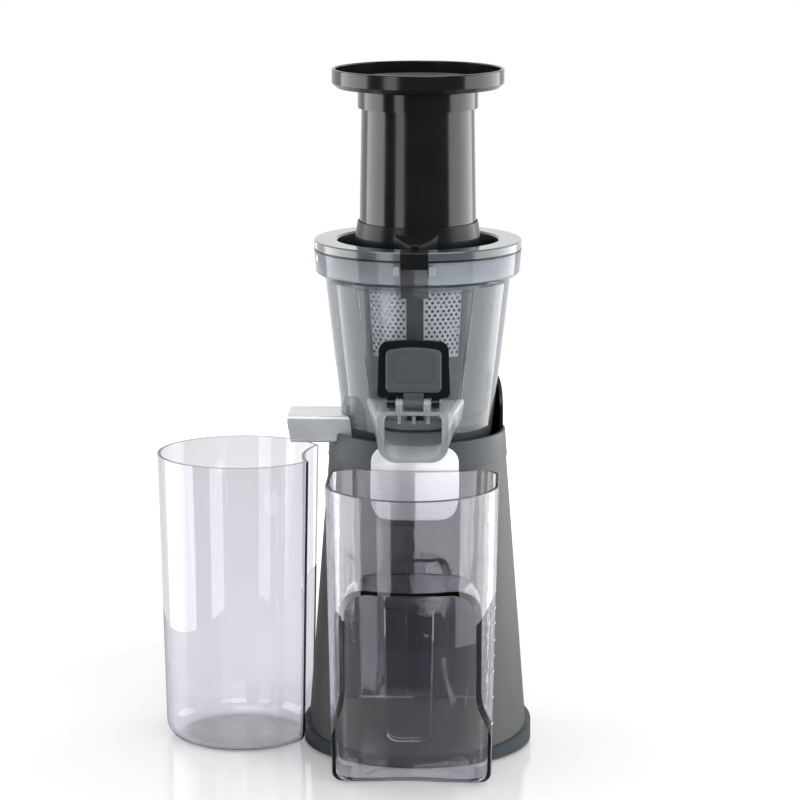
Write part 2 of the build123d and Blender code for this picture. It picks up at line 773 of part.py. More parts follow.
# motor frame: ring under the can on four legs, and posts up to a plate under the gearbox
frame_r = motor_r + frame_reach + frame_rim
post_circle_r = motor_r + frame_reach - 1
frame_top_z = case_floor_z - frame_top_t
with BuildPart() as motor_frame:
    with BuildSketch(Plane.XY.offset(motor_bottom_z - frame_low_t)):
        Circle(frame_r)
        Circle(motor_r - 4, mode=Mode.SUBTRACT)
    extrude(amount=frame_low_t)
    for low_z, high_z in ((ledge_z, motor_bottom_z - frame_low_t), (motor_bottom_z, frame_top_z)):
        with BuildSketch(Plane.XY.offset(low_z)):
            with PolarLocations(post_circle_r, post_count, start_angle=45):
                Circle(post_r)
        extrude(amount=high_z - low_z)
    with BuildSketch(Plane.XY.offset(frame_top_z)):
        Circle(frame_r)
        Circle(motor_shaft_r + bearing_h, mode=Mode.SUBTRACT)
    extrude(amount=frame_top_t)
save(motor_frame.part, "motor_frame", steel)

with BuildPart() as motor_dampers:
    with BuildSketch(Plane.XY.offset(motor_top_z)):
        with PolarLocations(motor_r - 7, damper_count):
            Circle(damper_r)
    extrude(amount=frame_top_z - motor_top_z)
save(motor_dampers.part, "motor_dampers", rubber)

board_y = -(motor_r + board_gap)
with BuildPart() as control_board:
    with BuildSketch(Plane.XZ.offset(-board_y)):
        with Locations((0, board_z)):
            RectangleRounded(board_w, board_h, 2)
            with GridLocations(board_w - 8, board_h - 8, 2, 2):
                Circle(screw_hole_r, mode=Mode.SUBTRACT)
    extrude(amount=board_t)
    with BuildSketch(Plane.XZ.offset(-board_y + board_t)):
        with Locations((-board_w / 4, board_z + board_h / 8)):
            RectangleRounded(board_relay_w, board_relay_h, 1)
        with Locations((board_w / 4, board_z + board_h / 8)):
            Circle(board_cap_r)
        with Locations((board_w / 5, board_z - board_h / 4)):
            RectangleRounded(board_plug_w, board_plug_h, 1)
    extrude(amount=board_part_h)
save(control_board.part, "control_board", green)

# two rails from the floor plate hold the board by its lower edge
with BuildPart() as board_rails:
    with BuildSketch(Plane.XY.offset(ledge_z)):
        for side in (-1, 1):
            with Locations((side * (board_w - rail_w) / 2, board_y - board_t / 2)):
                Rectangle(rail_w, rail_d)
    extrude(amount=board_z - board_h / 2 + 4 - ledge_z)
    with BuildSketch(Plane.XY.offset(board_z - board_h / 2)):
        with Locations((0, board_y - board_t / 2)):
            Rectangle(board_w + 1, board_t + 2 * run_gap)
    extrude(amount=board_h, mode=Mode.SUBTRACT)
save(board_rails.part, "board_rails", black)

# ---- rear switch and cord gland ---------------------------------------------------------------------------
rocker_axis_y = switch_y - rocker_axis_depth
with BuildPart() as switch_frame:
    with BuildSketch(Plane.XZ.offset(-switch_y - bezel_t)):
        with Locations((0, switch_z)):
            RectangleRounded(switch_w + 2 * switch_bezel, switch_h + 2 * switch_bezel, 3)
    extrude(amount=bezel_t + 3)
    add(cone_band(ledge_z, housing_top_z, -2 * housing_t, fit_gap / 3), mode=Mode.SUBTRACT)
    with BuildSketch(Plane.XZ.offset(-switch_y - bezel_t)):
        with Locations((0, switch_z)):
            RectangleRounded(switch_w, switch_h, 1.4)
    extrude(amount=switch_depth)
    with BuildSketch(Plane.XZ.offset(-switch_y - bezel_t)):
        with Locations((0, switch_z)):
            Rectangle(switch_w - 3, switch_h - 3)
    extrude(amount=switch_depth - switch_floor_t, mode=Mode.SUBTRACT)
    with BuildSketch(Plane.YZ.offset(-switch_w / 2)):
        with Locations((rocker_axis_y, switch_z)):
            Circle(rocker_pin_r + run_gap)
    extrude(amount=switch_w, mode=Mode.SUBTRACT)
save(switch_frame.part, "switch_frame", black)

rocker_half = (switch_h - 3) / 2 - 1.4
rocker_axis = Axis((0, rocker_axis_y, switch_z), (1, 0, 0))
rocker_w = switch_w - 3 - 2 * move_gap
rocker_face_y = switch_y + bezel_t
with BuildPart() as switch_rocker:
    with BuildSketch(Plane.YZ.offset(-rocker_w / 2)):
        with BuildLine():
            Polyline((rocker_axis_y - 2.4, switch_z - 3), (rocker_face_y - 2.6, switch_z - rocker_half + 0.6),
                     (rocker_face_y + 0.6, switch_z - rocker_half), (rocker_face_y - 0.4, switch_z),
                     (rocker_face_y + 0.6, switch_z + rocker_half),
                     (rocker_face_y - 2.6, switch_z + rocker_half - 0.6),
                     (rocker_axis_y - 2.4, switch_z + 3), close=True)
        make_face()
    extrude(amount=rocker_w)
    with BuildSketch(Plane.YZ.offset(-switch_w / 2 + 0.1)):
        with Locations((rocker_axis_y, switch_z)):
            Circle(rocker_pin_r)
    extrude(amount=switch_w - 0.2)
save(switch_rocker.part.rotate(rocker_axis, -rocker_tilt_deg), "switch_rocker", black)

gland_plane = Plane.XZ.offset(gland_in - gland_y)
with BuildPart() as cord_gland:
    with BuildSketch(Plane.XZ.offset(gland_out - gland_y)):
        with Locations((gland_x, gland_z)):
            Circle(gland_r + gland_rim_w)
    extrude(amount=-2.5 * gland_out)
    add(cone_band(ledge_z, housing_top_z, -housing_bottom_r / 2, fit_gap / 3), mode=Mode.SUBTRACT)
    with BuildSketch(gland_plane):
        with Locations((gland_x, gland_z)):
            Circle(gland_r - fit_gap)
    extrude(amount=-gland_in - gland_out)
    with BuildSketch(gland_plane):
        with Locations((gland_x, gland_z)):
            Circle(cord_hole_r)
    extrude(amount=-gland_in - 3 * gland_out, mode=Mode.SUBTRACT)
save(cord_gland.part, "cord_gland", rubber)

# ---- bowl with its front field and juice spout ------------------------------------------------------------
bowl_foot_z = deck_top_z + move_gap
hub_top_z = bowl_floor_z + hub_h
bowl_slope = (bowl_top_r - bowl_bottom_r) / (bowl_body_top_z - bowl_foot_z)


def bowl_r(z):
    """Outer radius of the bowl's body at height z."""
    return bowl_bottom_r + bowl_slope * (z - bowl_foot_z)


def field_half(z):
    """Half width of the bowl's raised front field at height z."""
    flare = (bulge_top_half - bulge_low_half) / (bowl_body_top_z - bulge_low_z)
    return bulge_low_half + flare * (z - bulge_low_z)


def field_solid(offset, low_z, high_z, outline):
    """Front field in front view, cut to a cone set off from the field's outer face, closed to the axis."""
    with BuildPart() as field:
        with BuildSketch(Plane.XZ):
            with BuildLine():
                add(outline)
                mirror(about=Plane.YZ)
            make_face()
        extrude(amount=band_r)
        add(ring_solid([(0, low_z), (bowl_r(low_z) + bulge_out + offset, low_z),
                        (bowl_r(high_z) + bulge_out + offset, high_z), (0, high_z)]), mode=Mode.INTERSECT)
    return field.part


def raised_field(grow, low_z, high_z):
    """Outside of the front field, flared into the band, with rounded long edges."""
    flare_z = high_z - bulge_edge_r
    low_half = field_half(low_z) + grow
    high_half = field_half(flare_z) + grow
    with BuildLine() as outline:
        flank = FilletPolyline((low_half, low_z), (high_half, flare_z), (high_half + bulge_flare_w, flare_z),
                               radius=bulge_flare_r)
        Line((0, low_z), flank @ 0)
        Polyline(flank @ 1, (high_half + bulge_flare_w, high_z), (0, high_z))
    blank = field_solid(grow, low_z, high_z, outline.line)
    return blank.fillet(bulge_edge_r, blank.edges().filter_by(GeomType.ELLIPSE))


def hollow_field(low_z, high_z):
    """Inside of the front field."""
    with BuildLine() as outline:
        Polyline((0, low_z), (field_half(low_z) - bowl_t, low_z),
                 (field_half(high_z) - bowl_t, high_z), (0, high_z))
    return field_solid(-bowl_t, low_z, high_z, outline.line)


def spout_section(half_low, half_high, low_z, high_z, low_r, y):
    """U-shaped section of the spout on the vertical plane at y."""
    with BuildSketch(Plane.XZ.offset(-y)) as section:
        with BuildLine():
            FilletPolyline((0, low_z), (half_low, low_z), (half_high, high_z), (0, high_z),
                           radius=[low_r, low_r / 3])
            mirror(about=Plane.YZ)
        make_face()
    return section.sketch


touch = fit_gap / 3             # between pieces that are joined face to face
band_inner_r = band_low_r - bowl_t
ledge_top_z = band_bottom_z + 1.3
floor_low_z = bowl_floor_z - bowl_t


def bowl_outside(grow):
    """Bowl filled to the brim: skirt, body, band and front field."""
    with BuildPart() as blank:
        add(ring_solid([(0, bowl_foot_z), (bowl_r(bowl_foot_z) + grow, bowl_foot_z),
                        (bowl_top_r + grow, bowl_body_top_z), (bowl_top_r + 1.5 + grow, band_bottom_z - 2),
                        (band_low_r - 1.5, band_bottom_z), (band_low_r, band_bottom_z + 1.5),
                        (band_r, bowl_rim_z), (0, bowl_rim_z)]))
        add(raised_field(grow, bulge_low_z - 16, band_bottom_z - 0.5))
    return blank.part


with BuildPart() as spout_channel:
    # falls towards the mouth
    add(spout_section(root_w / 2 - 4 - spout_t, root_w / 2 - spout_t, root_bottom_z + spout_t,
                      root_top_z - spout_t, spout_low_r - spout_t, root_y + spout_t))
    add(spout_section(opening_w / 2, opening_w / 2, opening_bottom_z, opening_top_z,
                      spout_low_r - spout_t, mouth_y - 0.1))
    loft()

with BuildPart() as bowl_shell:
    add(bowl_outside(0))
    # inside: the juice room, the seat of the strainer and lid, and the hollow under the floor
    add(ring_solid([(0, bowl_foot_z - 1), (bowl_r(bowl_foot_z) - bowl_t, bowl_foot_z - 1),
                    (bowl_r(bowl_foot_z) - bowl_t, bowl_foot_z), (bowl_top_r - bowl_t, bowl_body_top_z),
                    (bowl_top_r - bowl_t, ledge_top_z), (band_inner_r, ledge_top_z),
                    (band_inner_r, bowl_rim_z + 1), (0, bowl_rim_z + 1)]), mode=Mode.SUBTRACT)
    add(hollow_field(bulge_low_z - 8, bowl_body_top_z - 1), mode=Mode.SUBTRACT)
    add(spout_channel.part, mode=Mode.SUBTRACT)
    # side hole for the pulp
    with BuildSketch(Plane.YZ.offset(-bowl_bottom_r - 5)):
        with Locations((duct_y, connector_low_z + connector_h / 2)):
            Rectangle(connector_w + 2 * fit_gap, connector_h + 2 * fit_gap)
    extrude(amount=20, mode=Mode.SUBTRACT)
    # notch for the lid's latch, with a guide lug on each side
    with BuildSketch(Plane.XY.offset(latch_low_z - move_gap)):
        with Locations((0, -band_r)):
            Rectangle(latch_w + 2 * move_gap, 2 * (band_r - band_inner_r + fit_gap))
    extrude(amount=bowl_rim_z - latch_low_z + 1, mode=Mode.SUBTRACT)
    lug_x = latch_w / 2 + move_gap + lug_w / 2
    lug_back_y = -sqrt(band_inner_r ** 2 - lug_x ** 2) - bowl_t / 2
    lug_front_y = -band_r - lug_proud
    with BuildSketch(Plane.XY.offset(bowl_rim_z - lug_h)):
        with Locations((-lug_x, (lug_back_y + lug_front_y) / 2), (lug_x, (lug_back_y + lug_front_y) / 2)):
            Rectangle(lug_w, lug_back_y - lug_front_y)
    extrude(amount=lug_h)
save(bowl_shell.part, "bowl_shell", smoke)

with BuildPart() as bowl_floor:
    # floor with the hub tube around the auger's shaft
    add(ring_solid([(hub_bore_r, bowl_floor_z - hub_drop), (hub_bore_r + hub_t, bowl_floor_z - hub_drop),
                    (hub_bore_r + hub_t, floor_low_z), (bowl_r(floor_low_z) - bowl_t - touch, floor_low_z),
                    (bowl_r(bowl_floor_z) - bowl_t - touch, bowl_floor_z),
                    (hub_bore_r + hub_t, bowl_floor_z), (hub_bore_r + hub_t, hub_top_z),
                    (hub_bore_r, hub_top_z)]))
    add(spout_channel.part, mode=Mode.SUBTRACT)
    # slot for the pulp
    with BuildSketch(Plane.XY.offset(floor_low_z)):
        with Locations(((pulp_slot_in_x + pulp_slot_out_x) / 2, duct_y)):
            RectangleRounded(pulp_slot_in_x - pulp_slot_out_x, pulp_slot_w, 3)
    extrude(amount=bowl_t, mode=Mode.SUBTRACT)
save(bowl_floor.part, "bowl_floor", smoke)

with BuildPart() as juice_spout:
    add(spout_section(root_w / 2 - 4, root_w / 2, root_bottom_z, root_top_z, spout_low_r, root_y))
    add(spout_section(mouth_w / 2, mouth_w / 2, mouth_bottom_z, mouth_top_z, spout_low_r, mouth_y))
    loft()
    add(bowl_outside(touch), mode=Mode.SUBTRACT)
    add(spout_channel.part, mode=Mode.SUBTRACT)
    # lugs for the flap's pin, and drip ribs under the mouth's top edge
    for side in (-1, 1):
        with BuildSketch(Plane.YZ.offset(side * (lug_inner_x + lug_outer_x) / 2)):
            with Locations((hinge_y, hinge_z)):
                Circle(lug_r)
            with Locations((hinge_y, (hinge_z + opening_top_z + 1) / 2)):
                Rectangle(2 * lug_r, hinge_z - opening_top_z - 1)
            with Locations((hinge_y, hinge_z)):
                Circle(hinge_pin_r + run_gap, mode=Mode.SUBTRACT)
        extrude(amount=(lug_outer_x - lug_inner_x) / 2, both=True)
    for rib_x in (-9, 0, 9):
        with BuildSketch(Plane.XY.offset(opening_top_z - drip_rib_h)):
            with Locations((rib_x, drip_rib_y)):
                SlotOverall(6, 2.4, rotation=90)
        extrude(amount=drip_rib_h + 1)
save(juice_spout.part, "juice_spout", smoke)

with BuildPart() as hub_seal:
    add(ring_solid([(hub_bore_r + move_gap, hub_top_z), (hub_bore_r + hub_t, hub_top_z),
                    (hub_bore_r + hub_t, hub_top_z + seal_h), (hub_bore_r + move_gap, hub_top_z + seal_h)]))
save(hub_seal.part, "hub_seal", rubber)

# ---- pulp outlet ------------------------------------------------------------------------------------------
connector_end_x = duct_root_x - 9
connector_in_x = pulp_slot_in_x + connector_t
with BuildPart() as outlet_connector:
    with BuildSketch(Plane.YZ.offset(connector_end_x)):
        with Locations((duct_y, connector_low_z + connector_h / 2)):
            RectangleRounded(connector_w, connector_h, 1)
    extrude(amount=connector_in_x - connector_end_x)
    with BuildSketch(Plane.YZ.offset(connector_end_x - 1)):
        with Locations((duct_y, connector_low_z + connector_h / 2)):
            Rectangle(connector_w - 2 * connector_t, connector_h - 2 * connector_t)
    extrude(amount=pulp_slot_in_x - connector_end_x + 1, mode=Mode.SUBTRACT)
    with BuildSketch(Plane.XY.offset(connector_low_z + connector_h - connector_t - 0.1)):
        with Locations(((pulp_slot_in_x + pulp_slot_out_x) / 2, duct_y)):
            RectangleRounded(pulp_slot_in_x - pulp_slot_out_x, pulp_slot_w, 3)
    extrude(amount=connector_t + 1, mode=Mode.SUBTRACT)
save(outlet_connector.part, "outlet_connector", black)

duct_mid_z = (duct_bottom_z + duct_top_z) / 2
duct_h = duct_top_z - duct_bottom_z
with BuildPart() as pulp_duct:
    with BuildSketch(Plane.YZ.offset(duct_end_x)):
        with Locations((duct_y, duct_mid_z)):
            RectangleRounded(duct_w, duct_h, 3)
    extrude(amount=-duct_end_x - bowl_bottom_r + 10)
    with BuildSketch(Plane.XZ.offset(-duct_y - duct_w)):
        with BuildLine():
            Polyline((duct_end_x - 1, duct_bottom_z - 1), (duct_end_x + duct_end_rake, duct_bottom_z - 1),
                     (duct_end_x - 1, duct_top_z + 1), close=True)
        make_face()
    extrude(amount=2 * duct_w, mode=Mode.SUBTRACT)
    with BuildSketch(Plane.YZ.offset(duct_end_x - 1)):
        with Locations((duct_y, duct_mid_z)):
            RectangleRounded(duct_w - 2 * duct_t, duct_h - 2 * duct_t, 2)
    extrude(amount=duct_root_x - duct_end_x - 1, mode=Mode.SUBTRACT)
    with BuildSketch(Plane.YZ.offset(connector_end_x)):
        with Locations((duct_y, connector_low_z + connector_h / 2)):
            Rectangle(connector_w + 2 * fit_gap, connector_h + 2 * fit_gap)
    extrude(amount=-connector_end_x, mode=Mode.SUBTRACT)
    add(ring_solid([(0, duct_bottom_z - 1), (bowl_r(duct_bottom_z - 1) + fit_gap, duct_bottom_z - 1),
                    (bowl_r(duct_top_z + 1) + fit_gap, duct_top_z + 1), (0, duct_top_z + 1)]),
        mode=Mode.SUBTRACT)
save(pulp_duct.part, "pulp_duct", steel)

# ---- juice flap -------------------------------------------------------------------------------------------
pad_face_y = 2 * hinge_y - mouth_y + move_gap        # closed, the pad's face lies just before the mouth
flap_front_y = pad_face_y + pad_t


def hinge_arm(inner_x, outer_x):
    """Arm from the pin to the flap's plate, between two X planes, bored for the pin."""
    with BuildPart() as arm:
        with BuildSketch(Plane.YZ.offset(inner_x)):
            with Locations((hinge_y, hinge_z)):
                Circle(knuckle_r)
            with BuildLine():
                Polyline((hinge_y, hinge_z - 2.1), (flap_front_y + flap_t, hinge_z - 2.1),
                         (flap_front_y + flap_t, flap_bottom_z + 1), (flap_front_y, flap_bottom_z + 1),
                         (flap_front_y, hinge_z + knuckle_r), (hinge_y, hinge_z + knuckle_r), close=True)
            make_face()
            with Locations((hinge_y, hinge_z)):
                Circle(hinge_pin_r + run_gap, mode=Mode.SUBTRACT)
        extrude(amount=outer_x - inner_x)
    return arm.part


with BuildPart() as flap_cover:
    with BuildSketch(Plane.XZ.offset(-flap_front_y)) as flap_outline:
        with BuildLine():
            top_bow = ThreePointArc((-flap_w_top / 2, flap_top_z - 1), (0, flap_top_z),
                                    (flap_w_top / 2, flap_top_z - 1))
            Polyline(top_bow @ 1, (flap_w_low / 2, flap_bottom_z), (-flap_w_low / 2, flap_bottom_z),
                     top_bow @ 0)
        make_face()
        fillet(flap_outline.vertices().group_by(Axis.Y)[-1], flap_corner_r)
        fillet(flap_outline.vertices().group_by(Axis.Y)[0], 3)
    extrude(amount=-flap_t)
    fillet(flap_cover.faces().sort_by(Axis.Y)[-1].edges(), 1.0)
    add(hinge_arm(lug_outer_x + move_gap, leg_outer_x))
    add(hinge_arm(-leg_outer_x, -lug_outer_x - move_gap))
save(flap_cover.part, "flap_cover", black)

with BuildPart() as flap_pad:
    with BuildSketch(Plane.XZ.offset(-flap_front_y)) as pad_outline:
        with BuildLine():
            shoulder_z = pad_top_z - pad_arch_h
            arch = ThreePointArc((-pad_w / 2, shoulder_z), (0, pad_top_z), (pad_w / 2, shoulder_z))
            Polyline(arch @ 1, (pad_w / 2, pad_bottom_z), (-pad_w / 2, pad_bottom_z), arch @ 0)
        make_face()
        fillet(pad_outline.vertices(), pad_corner_r)
    extrude(amount=pad_t)
    fillet(flap_pad.faces().sort_by(Axis.Y)[0].edges(), 1.0)
    with BuildSketch(Plane.XZ.offset(-pad_face_y)):
        with Locations((0, pad_frame_z)):
            RectangleRounded(pad_frame_w, pad_frame_h, 3)
    extrude(amount=-pad_frame_depth, mode=Mode.SUBTRACT)
save(flap_pad.part, "flap_pad", rubber)

# tongue between the lugs, from the pin up the front of the flap's plate to the pad; closed, it clears
# the top edge of the mouth
tongue_half = lug_inner_x - move_gap
tongue_back_y = flap_front_y - touch
tongue_peak_z = pad_bottom_z - touch
tongue_step_z = 2 * hinge_z - mouth_top_z - move_gap
with BuildPart() as flap_tongue:
    with BuildSketch(Plane.YZ.offset(-tongue_half)):
        with Locations((hinge_y, hinge_z)):
            Circle(knuckle_r)
        with BuildLine():
            Polyline((hinge_y, hinge_z), (tongue_back_y, flap_bottom_z), (tongue_back_y, tongue_peak_z),
                     (pad_face_y, tongue_peak_z), (pad_face_y, tongue_step_z),
                     (hinge_y, hinge_z + knuckle_r), close=True)
        make_face()
        with Locations((hinge_y, hinge_z)):
            Circle(hinge_pin_r + run_gap, mode=Mode.SUBTRACT)
    extrude(amount=2 * tongue_half)
save(flap_tongue.part, "flap_tongue", rubber)

with BuildPart() as flap_pin:
    with BuildSketch(Plane.YZ.offset(-leg_outer_x)):
        with Locations((hinge_y, hinge_z)):
            Circle(hinge_pin_r)
    extrude(amount=2 * leg_outer_x)
save(flap_pin.part, "flap_pin", steel)

# ---- strainer ---------------------------------------------------------------------------------------------
strainer_foot_z = bowl_floor_z
strainer_slope = (strainer_top_r - strainer_low_r) / (strainer_top_z - strainer_foot_z)


def strainer_r(z):
    """Inner radius of the strainer at height z."""
    return strainer_low_r + strainer_slope * (z - strainer_foot_z)


with BuildPart() as strainer_sleeve:
    add(ring_solid([(strainer_low_r, strainer_foot_z), (strainer_low_r + sleeve_t, strainer_foot_z),
                    (strainer_top_r + sleeve_t, strainer_top_z), (strainer_top_r, strainer_top_z)]))
save(strainer_sleeve.part, "strainer_sleeve", steel)

frame_in = sleeve_t + fit_gap / 3
flange_r = band_inner_r - 2 * fit_gap
flange_in_r = flange_r - flange_wall_t
flange_low_z = ledge_top_z
flange_top_z = bowl_rim_z - move_gap
low_ring_top_z = strainer_foot_z + frame_ring_h
top_ring_low_z = flange_low_z - frame_ring_h
top_ring_r = strainer_r(flange_low_z) + frame_in + frame_ring_t
with BuildPart() as strainer_foot:
    add(ring_solid([(strainer_r(strainer_foot_z) + frame_in, strainer_foot_z),
                    (strainer_r(strainer_foot_z) + frame_in + rib_t, strainer_foot_z),
                    (strainer_r(low_ring_top_z) + frame_in + rib_t, low_ring_top_z),
                    (strainer_r(low_ring_top_z) + frame_in, low_ring_top_z)]))
save(strainer_foot.part, "strainer_foot", steel)

with BuildPart() as strainer_frame:
    add(ring_solid([(strainer_r(top_ring_low_z) + frame_in, top_ring_low_z),
                    (strainer_r(top_ring_low_z) + frame_in + frame_ring_t, top_ring_low_z),
                    (top_ring_r, flange_low_z), (flange_r, flange_low_z), (flange_r, flange_step_z),
                    (flange_r - flange_step, flange_step_z), (flange_r - flange_step, flange_top_z),
                    (flange_in_r, flange_top_z), (flange_in_r, strainer_top_z),
                    (strainer_r(strainer_top_z) + frame_in, strainer_top_z)]))
    add(front_sector([(top_ring_r, flange_low_z - 1), (flange_r + 1, flange_low_z - 1),
                      (flange_r + 1, flange_top_z + 1), (top_ring_r, flange_top_z + 1)],
                     locator_w + 2 * fit_gap), mode=Mode.SUBTRACT)
save(strainer_frame.part, "strainer_frame", steel)


def rib_band(thick):
    """Band round the sleeve, between the frame's two rings."""
    low = low_ring_top_z + fit_gap
    high = top_ring_low_z - fit_gap
    return ring_solid([(strainer_r(low) + frame_in, low), (strainer_r(low) + frame_in + thick, low),
                       (strainer_r(high) + frame_in + thick, high), (strainer_r(high) + frame_in, high)])


with BuildPart() as rib_plates:
    add(rib_band(rib_t))
    with BuildSketch(Plane.XY.offset(strainer_foot_z)):
        with PolarLocations(strainer_top_r, rib_count, start_angle=-90):
            Rectangle(strainer_top_r, rib_w)
    extrude(amount=strainer_top_z - strainer_foot_z, mode=Mode.INTERSECT)

with BuildPart() as rib_ridges:
    add(rib_band(rib_t + ridge_t))
    with BuildSketch(Plane.XY.offset(strainer_foot_z)):
        with PolarLocations(strainer_top_r, rib_count, start_angle=-90):
            Rectangle(strainer_top_r, ridge_w)
    extrude(amount=strainer_top_z - strainer_foot_z, mode=Mode.INTERSECT)

locator_in_r = top_ring_r + fit_gap
locator_turn_z = top_ring_low_z - fit_gap
with BuildPart() as strainer_ribs:
    add(rib_plates.part)
    add(rib_ridges.part)
    add(front_sector([(strainer_r(locator_low_z) + frame_in, locator_low_z), (locator_r, locator_low_z),
                      (locator_r, flange_low_z + fit_gap), (flange_r, flange_low_z + fit_gap),
                      (flange_r, locator_top_z), (flange_in_r, locator_top_z), (flange_in_r, strainer_top_z),
                      (locator_in_r, strainer_top_z), (locator_in_r, locator_turn_z),
                      (strainer_r(locator_turn_z) + frame_in, locator_turn_z)], locator_w))
save(strainer_ribs.part, "strainer_ribs", black)

# ---- auger ------------------------------------------------------------------------------------------------
auger_stub_r = hub_bore_r - run_gap
auger_stub_z = deck_top_z + 3
auger_skirt_top_z = flight_bottom_z
hub_clear_r = hub_bore_r + hub_t + 0.8
flight_mean_r = (strainer_r(flight_bottom_z) + auger_core_low_r) / 2
flight_reach = strainer_r(flight_bottom_z) - auger_core_top_r
flight_pitch = (flight_top_z - flight_bottom_z) / auger_turns
with BuildPart() as auger:
    # two starts below, one above: a bar swept along a cone helix, then cut to the strainer's inside
    for start_x, rise in ((1, flight_top_z - flight_bottom_z), (-1, flight_pitch)):
        with BuildLine():
            helix = Helix(pitch=flight_pitch, height=rise, radius=flight_mean_r,
                          center=(0, 0, flight_bottom_z), direction=(0, 0, 1),
                          cone_angle=degrees(atan(strainer_slope)))
            if start_x < 0:
                helix = helix.rotate(Axis.Z, 180)
        with BuildSketch(Plane(origin=helix @ 0, x_dir=(start_x, 0, 0), z_dir=helix % 0)):
            Rectangle(flight_reach, flight_t)
        sweep(path=helix, is_frenet=True)
    add(ring_solid([(0, auger_foot_z), (strainer_r(auger_foot_z) - auger_gap, auger_foot_z),
                    (strainer_r(auger_top_z) - auger_gap, auger_top_z), (0, auger_top_z)]),
        mode=Mode.INTERSECT)
    # core: a skirt over the bowl's hub, a waisted cone and a rounded nose
    with BuildSketch(Plane.XZ):
        with BuildLine():
            Polyline((0, auger_foot_z), (auger_skirt_r, auger_foot_z), (auger_skirt_r, auger_skirt_top_z))
            flank = RadiusArc((auger_skirt_r, auger_skirt_top_z),
                              (auger_core_top_r, auger_top_z - auger_core_top_r), auger_waist_r)
            nose = RadiusArc(flank @ 1, (0, auger_top_z), -auger_core_top_r)
            Line(nose @ 1, (0, auger_foot_z))
        make_face()
    revolve(axis=Axis.Z)
    add(ring_solid([(0, auger_foot_z - 1), (hub_clear_r, auger_foot_z - 1),
                    (hub_clear_r, hub_top_z + seal_h + 1), (0, hub_top_z + seal_h + 1)]), mode=Mode.SUBTRACT)
    with BuildSketch(Plane.XY.offset(auger_stub_z)):
        Circle(auger_stub_r)
    extrude(amount=max(hub_top_z + seal_h, auger_foot_z) + 2 - auger_stub_z)
    with BuildSketch(Plane.XY.offset(auger_stub_z)):
        RegularPolygon(hex_af / 2 + hex_gap, 6, major_radius=False)
    extrude(amount=hex_top_z + 1 - auger_stub_z, mode=Mode.SUBTRACT)
save(auger.part, "auger", pale)

# ---- lid, feed tube, tray ---------------------------------------------------------------------------------
lid_low_z = bowl_rim_z + move_gap
lid_top_z = lid_low_z + lid_h
lid_base_z = lid_low_z + lid_base_t
lid_wall_top_z = lid_top_z - lid_chamfer
recess_low_z = lid_recess_z - lid_t
recess_r = lid_opening_r - lid_wall_lean
tube_seat_r = tube_low_r + fit_gap
skirt_r = flange_in_r - move_gap - fit_gap
skirt_low_z = strainer_top_z + 2 * move_gap

prow_root_y = -sqrt(tube_seat_r ** 2 - (prow_w / 2) ** 2)
prow_tip_y = -recess_r - 0.5
prow_fall = (prow_top_z - prow_tip_z) / (-prow_tip_y - tube_seat_r)
prow_peak_z = prow_top_z + prow_fall * tube_seat_r       # the sloping top, carried on to the axis
with BuildPart() as prow:
    with BuildSketch(Plane.XY.offset(recess_low_z + 1)):
        with BuildLine():
            side = SagittaArc((prow_tip_w / 2, prow_tip_y), (prow_w / 2, prow_root_y), -prow_bow)
            Line((0, prow_tip_y), side @ 0)
            Polyline(side @ 1, (prow_w / 2, 0), (0, 0))
            mirror(about=Plane.YZ)
        make_face()
    extrude(amount=prow_peak_z - recess_low_z)
    split(bisect_by=Plane(origin=(0, -tube_seat_r, prow_top_z), x_dir=(1, 0, 0),
                          z_dir=(0, prow_tip_z - prow_top_z, -prow_tip_y - tube_seat_r)), keep=Keep.BOTTOM)
    chamfer(prow.faces().sort_by(Axis.Z)[-1].edges(), 0.6)

with BuildPart() as lid_cover:
    add(ring_solid([(lid_r, lid_low_z), (lid_r, lid_base_z), (lid_opening_r + lid_t, lid_base_z),
                    (lid_opening_r + lid_t, lid_wall_top_z), (lid_opening_r, lid_wall_top_z),
                    (recess_r, lid_recess_z), (tube_seat_r + tube_collar_t, lid_recess_z),
                    (tube_seat_r + tube_collar_t, tube_collar_mid_z), (tube_seat_r + 0.8, tube_collar_z),
                    (tube_seat_r, tube_collar_z), (tube_seat_r, recess_low_z),
                    (recess_r + lid_t, recess_low_z), (lid_opening_r + lid_t, lid_low_z),
                    (skirt_r - lid_t, lid_low_z), (skirt_r - lid_t, skirt_low_z),
                    (skirt_r, skirt_low_z), (skirt_r, lid_low_z)]))
    add(prow.part)
    # latch: a bar across the lid's rim that turns down over the bowl's band
    add(front_sector([(lid_opening_r, lid_low_z), (lid_r, lid_low_z), (lid_r, lid_top_z - lid_edge),
                      (lid_r - lid_edge, lid_top_z), (lid_opening_r + lid_chamfer, lid_top_z),
                      (lid_opening_r, lid_wall_top_z)], latch_w))
    add(front_sector([(lid_r - latch_t, latch_low_z), (lid_r, latch_low_z), (lid_r, lid_base_z),
                      (lid_r - latch_t, lid_base_z)], latch_w))
    add(ring_solid([(0, recess_low_z - 1), (tube_seat_r, recess_low_z - 1), (tube_seat_r, prow_peak_z + 1),
                    (0, prow_peak_z + 1)]), mode=Mode.SUBTRACT)
save(lid_cover.part, "lid_cover", black)

